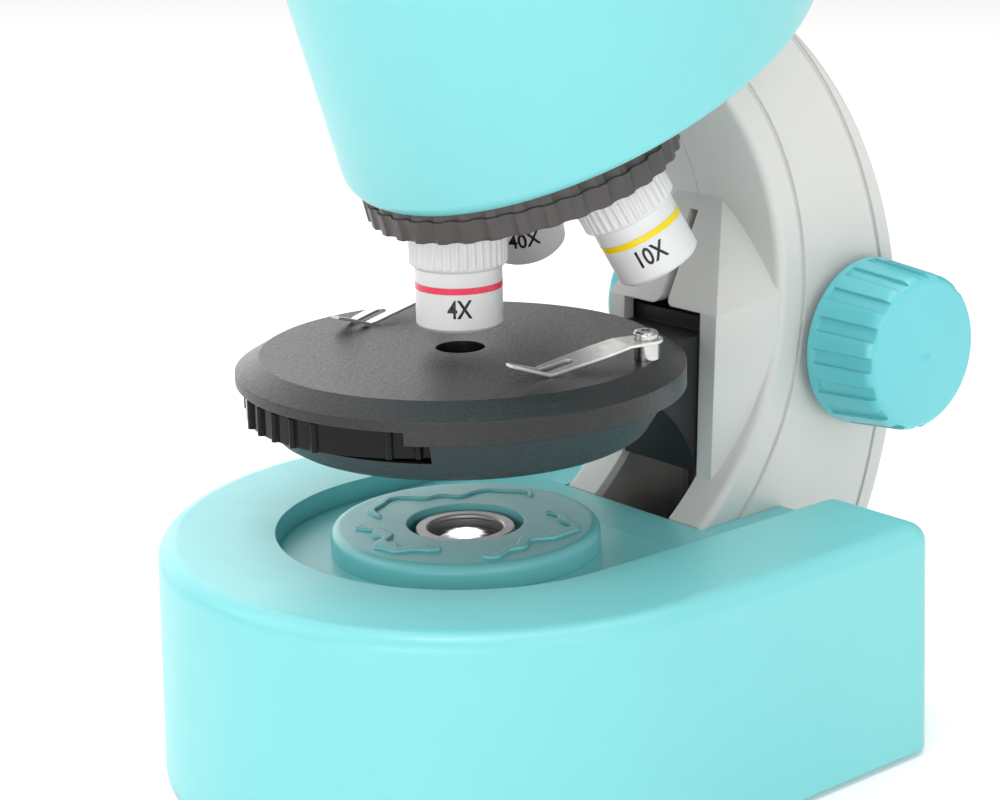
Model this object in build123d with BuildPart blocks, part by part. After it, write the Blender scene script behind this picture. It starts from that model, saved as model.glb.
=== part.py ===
"""Children's monocular microscope: a lamp base, a C-shaped arm with a rack-driven stage, a three-lens
turret, a flared head and a revolving 45 degree eyepiece.

Units are millimetres and +Z is up. While modelling, the origin is where the optical axis meets the
table, +X is to the right and +Y points from the stage back to the arm. save() moves every piece so
that the finished object's origin is the middle of its bounding box on the table.
"""

import os
from math import acos, atan2, cos, degrees, hypot, pi, radians, sin, sqrt, tan

from build123d import *

os.makedirs("parts", exist_ok=True)

# ---------------------------------------------------------------- base housing
BASE_BOTTOM = 1.5  # underside of the base above the table
BASE_TOP = 54.7
BASE_FLOOR = 49.7  # recessed deck around the lamp
BASE_RADIUS = 72.1  # round front, measured at the top
BASE_ARC_Y = 3.55  # centre of the round front
BASE_REAR_Y = 77.3
BASE_DRAFT = 1.2  # degrees
BASE_WALL = 2.4
BASE_EDGE = 4.25  # rounding of the outer top edge
RECESS_RADIUS = 43.9
RECESS_Y = 1.3
RIM_CORNER = 6.0
DECK_BREAK_Y = 32.5  # behind this line the deck falls to the rear height at the arm
DECK_REAR = 47.4
BASE_GROWTH = (BASE_TOP - BASE_BOTTOM) * tan(radians(BASE_DRAFT))
PLATE_THICKNESS = 2.2
BASE_BOSSES = [(-56, -22), (56, -22), (-58, 60), (58, 60)]
FOOT_SCREWS = [(-17, 58.5), (17, 58.5), (-17, 72), (17, 72)]  # through the deck into the arm
FEET = [(-50, -36), (50, -36), (-60, 46), (60, 46)]
SWITCH_X = -48.0
SWITCH_Z = 28.0

# ---------------------------------------------------------------- battery bay, three AA cells
CELL_RADIUS = 7.2
CELL_PITCH = 14.6
CELL_Y = -23.9
CELL_Z = 11.0
BAY_X = 30.0
BAY_Y0 = -46.4
BAY_Y1 = 4.6
BAY_TOP = 18.6

# ---------------------------------------------------------------- lamp
PEDESTAL_RADIUS = 30.6
PEDESTAL_TOP = 55.3
LAMP_HOLE = 13.3
SPIGOT_RADIUS = 20.0

# ---------------------------------------------------------------- arm, sizes in the Y-Z plane
ARM_HALF = 24.0
ARM_WALL = 2.5
ARM_OUT = (18.6, 81.7, 100.3)  # outer edge: centre y, centre z, radius
ARM_IN = (9.0, 100.7, 67.7)  # inner edge
ARM_GROOVE_OUT = (8.5, 82.7, 104.5)
ARM_GROOVE_IN = (9.9, 99.6, 74.8)
ARM_FOOT_Z = 8.0
ARM_FRONT_Y = 51.0
ARM_TIP_Y = 14.5
SEAM = 0.03  # half gap between the two arm shells
# cheeks beside the slot for the stage, and the hood above it
SLOT_HALF = 13.0
HOOD_HALF = 1.4
HOOD_Z = 95.6
HOOD_TOP = 117.0
CHEEK_WALL = 3.0
CHEEK_FOOT = (15.0, 59.8, 48.0)
CHEEK_RIDGE = (18.3, 61.3, 95.6)  # where the four faces of a cheek and its hood meet
CHEEK_BACK = (23.0, 75.5, 99.0)
HOOD_PEAK = (8.3, 73.0, 119.0)
# screw bosses between the two arm shells: y, z
BOSSES = [(73, 24), (88.4, 124), (104, 60), (101, 113), (66, 154), (56, 30)]
FRAME_SCREWS = [(20, 175.1), (33, 175.1)]
# blocks that carry the guide rods: bottom z, top z, front y, rear y
HOLDERS = [(20, 28, 69.5, 87.0), (120, 128, 77.4, 92.6)]
HOLDER_X = 16.0

# ---------------------------------------------------------------- focusing gear
FOCUS_Y = 102.8
FOCUS_Z = 84.4
SHAFT_RADIUS = 2.5
GEAR_MODULE = 1.0
PINION_TEETH = 12
PINION_PITCH = GEAR_MODULE * PINION_TEETH / 2
GEAR_PRESSURE = radians(20)
ROD_X = 10.5
ROD_Y = 82.0
ROD_RADIUS = 2.5
RUNNING = 0.05  # radial clearance where something turns or slides
KNOB_INNER = 26.4
KNOB_OUTER = 46.2
KNOB_RADIUS = 20.3
KNOB_RIBS = 16
SHAFT_END = 43.0
CARRIAGE_FRONT = 64.9
CARRIAGE_REAR = 91.0
CARRIAGE_HALF = 15.2

# ---------------------------------------------------------------- stage
STAGE_TOP = 96.1
STAGE_RADIUS = 50.0
STAGE_FLAT = 44.6
STAGE_RIM_TOP = 92.9
STAGE_RIM_BOTTOM = 87.9
BODY_TOP_RADIUS = 47.2
BODY_BOTTOM_RADIUS = 40.7
BODY_BOTTOM = 77.5
STAGE_HOLE = 5.5
WHEEL_X = -3.8
WHEEL_Y = -7.6
WHEEL_RADIUS = 40.0
WHEEL_BOTTOM = 83.0
WHEEL_TOP = 89.3
NOTCH_FROM = -180.0
NOTCH_TO = -52.4  # end of the notch in the rim
CUP_NOTCH_TO = -47.0  # end of the notch in the cup below it
CLIP_X = 35.9
CLIP_Y = 22.5
CLIP_LIFT = 3.8
CLIP_LENGTH = 33.5
CLIP_SHEET = 0.6
STAGE_SCREWS = [(-4.5, 36.2), (13.5, 34.0)]
APERTURES = [4.0, 0.7, 1.3, 1.9, 2.6, 3.3]  # radii round the diaphragm wheel

# ---------------------------------------------------------------- turret and objectives
TURRET_TILT = 16.4
TURRET_Y = 18.8
TURRET_Z = 132.4
TURRET_RADIUS = 35.8
APEX_Z = 196.2  # all three objective axes meet here
BARREL = 9.65
COLLAR = 10.9

# ---------------------------------------------------------------- head and eyepiece
HEAD_Y = 28.0
HEAD_CUT_TILT = 27.0
HEAD_CUT_Y = 35.5
HEAD_CUT_Z = 154.7
HEAD_TOP = 200.0
HEAD_WALL = 2.2
HEAD_SLOPE = 0.275
HEAD_RADIUS_LOW = 46.3
HEAD_Z_LOW = 128.8
COLLAR_TOP = 206.0
ELBOW_Z = 226.0
TUBE_ANGLE = 45.0
TUBE_LENGTH = 50.0
TUBE_BORE = 11.65

# ---------------------------------------------------------------- derived frames
# middle of the depth, between the round front of the base and the back of the knobs
MIDDLE_Y = (BASE_ARC_Y - BASE_RADIUS - BASE_GROWTH + FOCUS_Y + KNOB_RADIUS) / 2
TURRET_UP = (0, -sin(radians(TURRET_TILT)), cos(radians(TURRET_TILT)))
TURRET = Plane(origin=(0, TURRET_Y, TURRET_Z), x_dir=(1, 0, 0), z_dir=TURRET_UP)
TURRET_AXIS = Axis((0, TURRET_Y, TURRET_Z), TURRET_UP)
CUT = Plane(
    origin=(0, HEAD_CUT_Y, HEAD_CUT_Z),
    x_dir=(1, 0, 0),
    z_dir=(0, -sin(radians(HEAD_CUT_TILT)), cos(radians(HEAD_CUT_TILT))),
)
TUBE = Plane(
    origin=(0, 0, ELBOW_Z),
    x_dir=(1, 0, 0),
    z_dir=(0, -sin(radians(TUBE_ANGLE)), cos(radians(TUBE_ANGLE))),
)
SIDE = Plane.YZ  # sketch plane whose x is +Y and y is +Z


def save(name, part):
    """Write one piece, moved from the optical axis to the middle of the footprint."""
    placed = part.moved(Location((0, -MIDDLE_Y, 0)))
    placed.label = name
    export_step(placed, f"parts/{name}.step")


def dome_height(edge, rise, r):
    """Height at radius r of a spherical dome above its edge circle."""
    ball = (edge**2 + rise**2) / (2 * rise)
    return sqrt(ball**2 - r**2) - (ball - rise)


def pan_screw(plane, shank, length, head_radius, head_height):
    """Pan-head screw: the shank runs along the plane's +Z, the head sits behind the origin."""
    with BuildPart() as screw:
        with BuildSketch(plane):
            Circle(shank)
        extrude(amount=length)
        with BuildSketch(plane):
            Circle(head_radius)
        extrude(amount=-head_height)
        fillet(screw.edges().filter_by(GeomType.CIRCLE).group_by(SortBy.RADIUS)[-1].sort_by_distance(
            plane.origin - plane.z_dir * head_height)[0], head_height * 0.45)
        with BuildSketch(plane.offset(-head_height)):
            Rectangle(head_radius * 1.1, head_radius * 0.24)
            Rectangle(head_radius * 0.24, head_radius * 1.1)
        extrude(amount=head_height * 0.6, mode=Mode.SUBTRACT)
    return screw.part


# ================================================================ base
def footprint(radius, rear):
    """Round-fronted outline of the base, added to the sketch in progress."""
    with Locations((0, BASE_ARC_Y)):
        Circle(radius)
    with Locations((0, (BASE_ARC_Y + rear) / 2)):
        Rectangle(2 * radius, rear - BASE_ARC_Y)


def recess_outline():
    """Sunken deck: round in front, open to the rear."""
    with Locations((0, RECESS_Y)):
        Circle(RECESS_RADIUS)
    with Locations((0, RECESS_Y + 50)):
        Rectangle(2 * RECESS_RADIUS, 100)
    # rounded ends of the rim
    corners = [(side * (RECESS_RADIUS + RIM_CORNER), BASE_REAR_Y - RIM_CORNER) for side in (-1, 1)]
    for x, y in corners:
        with Locations((x * (RECESS_RADIUS + RIM_CORNER / 2) / (RECESS_RADIUS + RIM_CORNER), y + 10)):
            Rectangle(RIM_CORNER, 20)
    with Locations(*corners):
        Circle(RIM_CORNER, mode=Mode.SUBTRACT)


def deck_fall():
    """Space above the deck where it falls towards the arm."""
    with BuildPart(mode=Mode.PRIVATE) as space:
        with BuildSketch(Plane.XY.offset(40)):
            recess_outline()
        extrude(amount=40)
        with BuildSketch(SIDE.offset(-100)):
            Polygon((DECK_BREAK_Y, BASE_FLOOR), (ARM_FRONT_Y, DECK_REAR), (200, DECK_REAR), (200, 90),
                    (DECK_BREAK_Y, 90), align=None)
        extrude(amount=200, mode=Mode.INTERSECT)
    return space.part


def make_base_shell():
    """Moulded housing with the sunken deck, the arm pocket and the screw posts."""
    bottom_radius = BASE_RADIUS + BASE_GROWTH
    bottom_rear = BASE_REAR_Y + BASE_GROWTH
    with BuildPart() as shell:
        with BuildSketch(Plane.XY.offset(BASE_BOTTOM)) as foot:
            footprint(bottom_radius, bottom_rear)
            fillet(foot.vertices().group_by(Axis.Y)[-1], 6 + BASE_GROWTH)
        extrude(amount=BASE_TOP - BASE_BOTTOM, taper=BASE_DRAFT)
        fillet(shell.faces().sort_by(Axis.Z)[-1].edges(), BASE_EDGE)
        with BuildSketch(Plane.XY.offset(BASE_FLOOR)):
            recess_outline()
        extrude(amount=20, mode=Mode.SUBTRACT)
        with BuildSketch(Plane.XY.offset(BASE_BOTTOM)) as cavity:
            footprint(bottom_radius - BASE_WALL, bottom_rear - BASE_WALL)
            fillet(cavity.vertices().group_by(Axis.Y)[-1], 4 + BASE_GROWTH)
        extrude(amount=BASE_FLOOR - BASE_WALL - BASE_BOTTOM, taper=BASE_DRAFT, mode=Mode.SUBTRACT)
        # fall of the deck behind the lamp
        with BuildSketch(Plane.XY.offset(DECK_REAR - BASE_WALL)):
            with Locations((0, (DECK_BREAK_Y + BASE_REAR_Y - 1) / 2)):
                Rectangle(2 * (RECESS_RADIUS + RIM_CORNER), BASE_REAR_Y - 1 - DECK_BREAK_Y)
        extrude(amount=BASE_FLOOR - DECK_REAR + 1)
        add(deck_fall(), mode=Mode.SUBTRACT)
        # screw posts for the bottom plate
        with BuildSketch(Plane.XY.offset(BASE_BOTTOM + PLATE_THICKNESS)):
            with Locations(*BASE_BOSSES):
                Circle(4)
        extrude(amount=BASE_FLOOR - BASE_BOTTOM - PLATE_THICKNESS - 1)
        with BuildSketch(Plane.XY.offset(BASE_BOTTOM + PLATE_THICKNESS)):
            with Locations(*BASE_BOSSES):
                Circle(1.42)
        extrude(amount=16, mode=Mode.SUBTRACT)
        # pocket that takes the foot of the arm
        pocket_y = ARM_FRONT_Y - 0.15
        with BuildSketch(Plane.XY.offset(ARM_FOOT_Z - 2.4)):
            with Locations((0, (pocket_y - 2.4 + BASE_REAR_Y) / 2)):
                Rectangle(2 * (ARM_HALF + 0.15 + 2.4), BASE_REAR_Y - pocket_y + 2.4)
        extrude(amount=DECK_REAR - ARM_FOOT_Z + 2.4)
        with BuildSketch(Plane.XY.offset(ARM_FOOT_Z)):
            with Locations((0, (pocket_y + 100) / 2)):
                Rectangle(2 * (ARM_HALF + 0.15), 100 - pocket_y)
        extrude(amount=60, mode=Mode.SUBTRACT)
        with BuildSketch(Plane.XY.offset(ARM_FOOT_Z - 4)):
            with Locations(*FOOT_SCREWS):
                Circle(1.7)
        extrude(amount=5, mode=Mode.SUBTRACT)
        # lamp opening in the deck
        with BuildSketch(Plane.XY.offset(BASE_FLOOR - 6)):
            Circle(SPIGOT_RADIUS + 0.15)
        extrude(amount=10, mode=Mode.SUBTRACT)
        # switch opening in the rear wall
        with BuildSketch(Plane.XZ.offset(-BASE_REAR_Y + 5)):
            with Locations((SWITCH_X, SWITCH_Z)):
                RectangleRounded(15, 7, 1)
        extrude(amount=-12, mode=Mode.SUBTRACT)
    save("base_shell", shell.part)


def bay_rectangle(grow):
    """Plan of the battery bay, added to the sketch in progress."""
    with Locations((0, (BAY_Y0 + BAY_Y1) / 2)):
        Rectangle(2 * (BAY_X + grow), BAY_Y1 - BAY_Y0 + 2 * grow)


def make_base_bottom():
    """Bottom plate with the battery bay moulded into it."""
    inner = BASE_RADIUS + BASE_GROWTH - BASE_WALL - 0.25
    rear = BASE_REAR_Y + BASE_GROWTH - BASE_WALL - 0.25
    with BuildPart() as plate:
        with BuildSketch(Plane.XY.offset(BASE_BOTTOM)) as outline:
            footprint(inner, rear)
            fillet(outline.vertices().group_by(Axis.Y)[-1], 5)
        extrude(amount=PLATE_THICKNESS, taper=BASE_DRAFT)
        with BuildSketch(Plane.XY.offset(BASE_BOTTOM)):
            bay_rectangle(1.6)
        extrude(amount=BAY_TOP + 1.5 - BASE_BOTTOM)
        with BuildSketch(Plane.XY.offset(BASE_BOTTOM)):
            bay_rectangle(0)
        extrude(amount=BAY_TOP - BASE_BOTTOM, mode=Mode.SUBTRACT)
        # post for the cover screw
        with BuildSketch(Plane.XY.offset(BASE_BOTTOM + 2.0)):
            with Locations((0, BAY_Y1 - 2.6)):
                Circle(2.6)
        extrude(amount=BAY_TOP - BASE_BOTTOM - 1.5)
        with BuildSketch(Plane.XY.offset(BASE_BOTTOM)):
            with Locations((0, BAY_Y1 - 2.6)):
                Circle(1.3)
        extrude(amount=12, mode=Mode.SUBTRACT)
        # pockets for the feet and holes for the screws
        with BuildSketch(Plane.XY.offset(BASE_BOTTOM)):
            with Locations(*FEET):
                Circle(7.1)
        extrude(amount=1.0, mode=Mode.SUBTRACT)
        with BuildSketch(Plane.XY.offset(BASE_BOTTOM)):
            with Locations(*BASE_BOSSES):
                Circle(1.7)
        extrude(amount=4, mode=Mode.SUBTRACT)
        with BuildSketch(Plane.XY.offset(BASE_BOTTOM)):
            with Locations(*BASE_BOSSES):
                Circle(3.2)
        extrude(amount=1.2, mode=Mode.SUBTRACT)
    save("base_bottom", plate.part)


def make_feet():
    """Four rubber pads with a rounded lower edge."""
    with BuildPart() as feet:
        with BuildSketch():
            with Locations(*FEET):
                Circle(7)
        extrude(amount=BASE_BOTTOM + 1.0)
        fillet(feet.faces().group_by(Axis.Z)[0].edges(), 0.6)
    save("rubber_feet", feet.part)


def make_battery_cover():
    """Flat cover that closes the bay from below, with its countersunk screw hole."""
    with BuildPart() as cover:
        with BuildSketch(Plane.XY.offset(BASE_BOTTOM)):
            bay_rectangle(-0.3)
        extrude(amount=1.8)
        with BuildSketch(Plane.XY.offset(BASE_BOTTOM)):
            with Locations((0, BAY_Y1 - 2.6)):
                Circle(1.5)
        extrude(amount=3, mode=Mode.SUBTRACT)
        with BuildSketch(Plane.XY.offset(BASE_BOTTOM)):
            with Locations((0, BAY_Y1 - 2.6)):
                Circle(2.2)
        extrude(amount=1.1, mode=Mode.SUBTRACT)
        # finger grips
        with BuildSketch(Plane.XY.offset(BASE_BOTTOM)):
            with Locations((0, BAY_Y0 + 8)):
                with GridLocations(0, 2.4, 1, 4):
                    SlotOverall(22, 1.1)
        extrude(amount=0.5, mode=Mode.SUBTRACT)
    save("battery_cover", cover.part)
    screw_plane = Plane(origin=(0, BAY_Y1 - 2.6, BASE_BOTTOM + 1.1), x_dir=(1, 0, 0), z_dir=(0, 0, 1))
    save("battery_cover_screw", pan_screw(screw_plane, 1.22, 9, 2.1, 1.0))


def make_cells():
    """Three AA cells side by side, the middle one reversed."""
    with BuildPart() as cells:
        for row in (-1, 0, 1):
            turn = -1 if row == 0 else 1
            end = Plane(
                origin=(-24.6 * turn, CELL_Y + row * CELL_PITCH, CELL_Z),
                x_dir=(0, 1, 0),
                z_dir=(turn, 0, 0),
            )
            with BuildSketch(end):
                Circle(CELL_RADIUS)
            extrude(amount=49.2)
            with BuildSketch(end.offset(49.2)):
                Circle(2.7)
            extrude(amount=1.2)
    save("aa_cells", cells.part)


def make_contacts():
    """Contact plates and the coil springs that press the cells."""
    with BuildPart() as contacts:
        for side in (-1, 1):
            with BuildSketch(Plane.YZ.offset(side * (BAY_X - 0.3) - 0.25)):
                with Locations((CELL_Y, CELL_Z)):
                    with GridLocations(CELL_PITCH, 0, 3, 1):
                        Rectangle(11, 12)
            extrude(amount=0.5)
        for row in (-1, 0, 1):
            side = 1 if row == 0 else -1
            seat = (side * (BAY_X - 0.75), CELL_Y + row * CELL_PITCH, CELL_Z)
            with BuildLine() as coil:
                Helix(pitch=1.35, height=4.1, radius=3.2, center=seat, direction=(-side, 0, 0))
            with BuildSketch(Plane(origin=coil.line @ 0, z_dir=coil.line % 0)):
                Circle(0.35)
            sweep(path=coil.line)
    save("battery_contacts", contacts.part)


def make_switch():
    """Slide switch: body behind the rear wall and the finger slider."""
    with BuildPart() as body:
        with BuildSketch(Plane.XZ.offset(-(BASE_REAR_Y - 2.6))):
            with Locations((SWITCH_X, SWITCH_Z)):
                RectangleRounded(24, 13, 1.5)
        extrude(amount=9)
        with BuildSketch(Plane.XZ.offset(-(BASE_REAR_Y - 2.6))):
            with Locations((SWITCH_X, SWITCH_Z)):
                Rectangle(14.4, 5.4)
        extrude(amount=5, mode=Mode.SUBTRACT)
    save("switch_body", body.part)
    with BuildPart() as slider:
        with BuildSketch(Plane.XZ.offset(-(BASE_REAR_Y - 7.2))):
            with Locations((SWITCH_X - 2.5, SWITCH_Z)):
                Rectangle(9.0, 5.0)
        extrude(amount=-7.0)
        with BuildSketch(Plane.XZ.offset(-(BASE_REAR_Y - 0.2))):
            with Locations((SWITCH_X - 2.5, SWITCH_Z)):
                RectangleRounded(7.5, 5.0, 1)
        extrude(amount=-3.2)
        with BuildSketch(Plane.XZ.offset(-(BASE_REAR_Y + 3.0))):
            with Locations((SWITCH_X - 2.5, SWITCH_Z)):
                with GridLocations(1.8, 0, 3, 1):
                    Rectangle(0.7, 6)
        extrude(amount=2.0, mode=Mode.SUBTRACT)
    save("switch_slider", slider.part)


def make_base_screws():
    """Four bottom-plate screws and four screws into the foot of the arm."""
    with BuildPart() as screws:
        for x, y in BASE_BOSSES:
            plane = Plane(origin=(x, y, BASE_BOTTOM + 1.2), x_dir=(1, 0, 0), z_dir=(0, 0, 1))
            add(pan_screw(plane, 1.4, 12, 2.8, 1.1))
        for x, y in FOOT_SCREWS:
            plane = Plane(origin=(x, y, ARM_FOOT_Z - 2.4), x_dir=(1, 0, 0), z_dir=(0, 0, 1))
            add(pan_screw(plane, 1.4, 10.5, 2.8, 1.7))
    save("base_screws", screws.part)


# ================================================================ lamp
def island(count, radius, swing, width, start, sweep_deg, phase):
    """Outline points of a wavy raised band on the pedestal."""
    outer = []
    inner = []
    for i in range(count + 1):
        t = i / count
        angle = radians(start + sweep_deg * t)
        middle = radius + swing * sin(3.1 * pi * t + phase) + 0.9 * sin(9.3 * pi * t)
        half = width * (0.35 + 0.65 * sin(pi * t)) * (1 + 0.3 * sin(7 * pi * t + phase))
        outer.append(((middle + half) * cos(angle), (middle + half) * sin(angle)))
        inner.append(((middle - half) * cos(angle), (middle - half) * sin(angle)))
    return outer + inner[::-1]


def make_pedestal():
    """Round lamp pedestal with an abstract raised relief."""
    with BuildPart() as pedestal:
        with BuildSketch(Plane.XY.offset(BASE_FLOOR)):
            Circle(PEDESTAL_RADIUS)
        extrude(amount=PEDESTAL_TOP - BASE_FLOOR)
        fillet(pedestal.faces().sort_by(Axis.Z)[-1].edges(), 2.2)
        with BuildSketch(Plane.XY.offset(BASE_FLOOR)):
            Circle(PEDESTAL_RADIUS - 2.2)
        extrude(amount=PEDESTAL_TOP - BASE_FLOOR - 2.4, mode=Mode.SUBTRACT)
        with BuildSketch(Plane.XY.offset(BASE_FLOOR - 3.7)):
            Circle(SPIGOT_RADIUS)
        extrude(amount=PEDESTAL_TOP - BASE_FLOOR + 3.7 - 1)
        with BuildSketch(Plane.XY.offset(PEDESTAL_TOP - 0.5)):
            for shape in (
                island(26, 22.5, 2.6, 1.5, 100, 118, 0.4),
                island(20, 22.0, 2.2, 1.7, 235, 70, 2.0),
                island(24, 22.5, 2.4, 1.4, 330, 95, 1.2),
            ):
                Polygon(*shape, align=None)
        extrude(amount=1.1)
        with BuildSketch(Plane.XY.offset(BASE_FLOOR - 4)):
            Circle(LAMP_HOLE)
        extrude(amount=20, mode=Mode.SUBTRACT)
        with BuildSketch(Plane.XY.offset(BASE_FLOOR - 4)):
            with PolarLocations(16.7, 3, start_angle=90):
                Circle(0.95)
        extrude(amount=5, mode=Mode.SUBTRACT)
    save("lamp_pedestal", pedestal.part)


def make_lamp():
    """Bezel, condenser lens, light-emitting diode and its round board with three screws."""
    with BuildPart() as bezel:
        with BuildSketch(Plane.XZ):
            with BuildLine():
                Polyline((9.5, 46.4), (13.15, 46.4), (13.15, 51.6), (11.3, 51.6), (11.3, 54.0), (11.0, 54.3),
                         (8.9, 54.3), (8.6, 54.0), (8.6, 53.4), (9.5, 52.8), (9.5, 46.4))
            make_face()
        revolve(axis=Axis.Z)
    save("lamp_bezel", bezel.part)
    with BuildPart() as lens:
        with BuildSketch(Plane.XZ):
            with BuildLine():
                Line((0, 50.2), (9.4, 50.2))
                Line((9.4, 50.2), (9.4, 51.0))
                ThreePointArc((9.4, 51.0), (5.0, 51.0 + dome_height(9.4, 2.0, 5.0)), (0, 53.0))
                Line((0, 53.0), (0, 50.2))
            make_face()
        revolve(axis=Axis.Z)
    save("lamp_lens", lens.part)
    with BuildPart() as diode:
        with BuildSketch(Plane.XZ):
            with BuildLine():
                Line((0, 46.0), (2.9, 46.0))
                Line((2.9, 46.0), (2.9, 47.0))
                Line((2.9, 47.0), (2.5, 47.0))
                Line((2.5, 47.0), (2.5, 47.4))
                ThreePointArc((2.5, 47.4), (1.7, 47.4 + dome_height(2.5, 2.5, 1.7)), (0, 49.9))
                Line((0, 49.9), (0, 46.0))
            make_face()
        revolve(axis=Axis.Z)
    save("lamp_diode", diode.part)
    with BuildPart() as board:
        with BuildSketch(Plane.XY.offset(44.4)):
            Circle(19)
            with PolarLocations(16.7, 3, start_angle=90):
                Circle(1.1, mode=Mode.SUBTRACT)
        extrude(amount=1.6)
        with BuildSketch(Plane.XY.offset(42.2)):
            with Locations((7, 4), (-8, -3)):
                Rectangle(5, 3)
            with Locations((2, -9)):
                Rectangle(3, 6)
        extrude(amount=2.2)
    save("lamp_board", board.part)
    with BuildPart() as screws:
        for i in range(3):
            angle = radians(90 + 120 * i)
            plane = Plane(
                origin=(16.7 * cos(angle), 16.7 * sin(angle), 44.4), x_dir=(1, 0, 0), z_dir=(0, 0, 1)
            )
            add(pan_screw(plane, 0.93, 5.5, 1.7, 1.1))
    save("lamp_screws", screws.part)


# ================================================================ arm
def ring_profile(grow, foot, front, tip):
    """C-shaped side profile of the arm, grown outwards by the given amount."""
    with Locations((ARM_OUT[0], ARM_OUT[1])):
        Circle(ARM_OUT[2] + grow)
    with Locations((ARM_IN[0], ARM_IN[1])):
        Circle(ARM_IN[2] - grow, mode=Mode.SUBTRACT)
    with Locations((0, foot - 100)):
        Rectangle(400, 200, mode=Mode.SUBTRACT)
    with Locations((tip - 200, 0)):
        Rectangle(400, 600, mode=Mode.SUBTRACT)
    with Locations((front - 50, 20)):
        Rectangle(100, 160, mode=Mode.SUBTRACT)


def swing_cut():
    """Space swept by the objectives and the turret as they turn, with a margin."""
    tilt = radians(TURRET_TILT)
    reach = hypot(TURRET_Y, APEX_Z - TURRET_Z)
    margin = 0.9
    points = [(0, 14), (TURRET_RADIUS + margin, 14), (TURRET_RADIUS + margin, -margin)]
    for distance, radius in ((76, COLLAR), (81.8, COLLAR), (82, BARREL), (96, BARREL), (97, 7.5), (99.5, 6)):
        r = distance * sin(tilt) + (radius + margin) * cos(tilt)
        h = reach - distance * cos(tilt) + (radius + margin) * sin(tilt)
        points.append((r, h))
    points.append((0, points[-1][1]))
    with BuildPart(mode=Mode.PRIVATE) as sweep_space:
        with BuildSketch(Plane(origin=TURRET.origin, x_dir=(1, 0, 0), z_dir=-TURRET.y_dir)):
            Polygon(*points, align=None)
        revolve(axis=TURRET_AXIS)
    return sweep_space.part


def cheek_block(inset):
    """Solid block of one cheek and its hood, with every face moved inwards by the inset."""
    lean = CHEEK_RIDGE[2] - CHEEK_FOOT[2]
    back = Vector(*CHEEK_BACK) - Vector(*CHEEK_RIDGE)
    rise = Vector(*HOOD_PEAK) - Vector(*CHEEK_RIDGE)
    faces = [
        (0, -lean, CHEEK_RIDGE[1] - CHEEK_FOOT[1]),
        (0, -rise.Z, rise.Y),
        (back.Y, -back.X, 0),
        tuple(back.cross(rise)),
    ]
    width = ARM_HALF - (ARM_WALL if inset else 0.6)
    with BuildPart(mode=Mode.PRIVATE) as block:
        with BuildSketch(Plane.XY.offset(46)):
            with Locations((width / 2, 69)):
                Rectangle(width, 30)
        extrude(amount=76)
        for normal in faces:
            face = Plane(origin=CHEEK_RIDGE, z_dir=normal).offset(-inset)
            split(bisect_by=face, keep=Keep.BOTTOM)
        if not inset:
            # ends in the inner wall of the arm
            with BuildSketch(SIDE):
                with Locations((ARM_IN[0], ARM_IN[1])):
                    Circle(ARM_IN[2] + ARM_WALL - 0.5)
            extrude(amount=ARM_HALF, mode=Mode.INTERSECT)
    return block.part


def arm_boss_span(index):
    """Bosses that hold a guide-rod block are shorter, the others meet at the seam."""
    return HOLDER_X + 0.1 if index < len(HOLDERS) else SEAM


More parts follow.
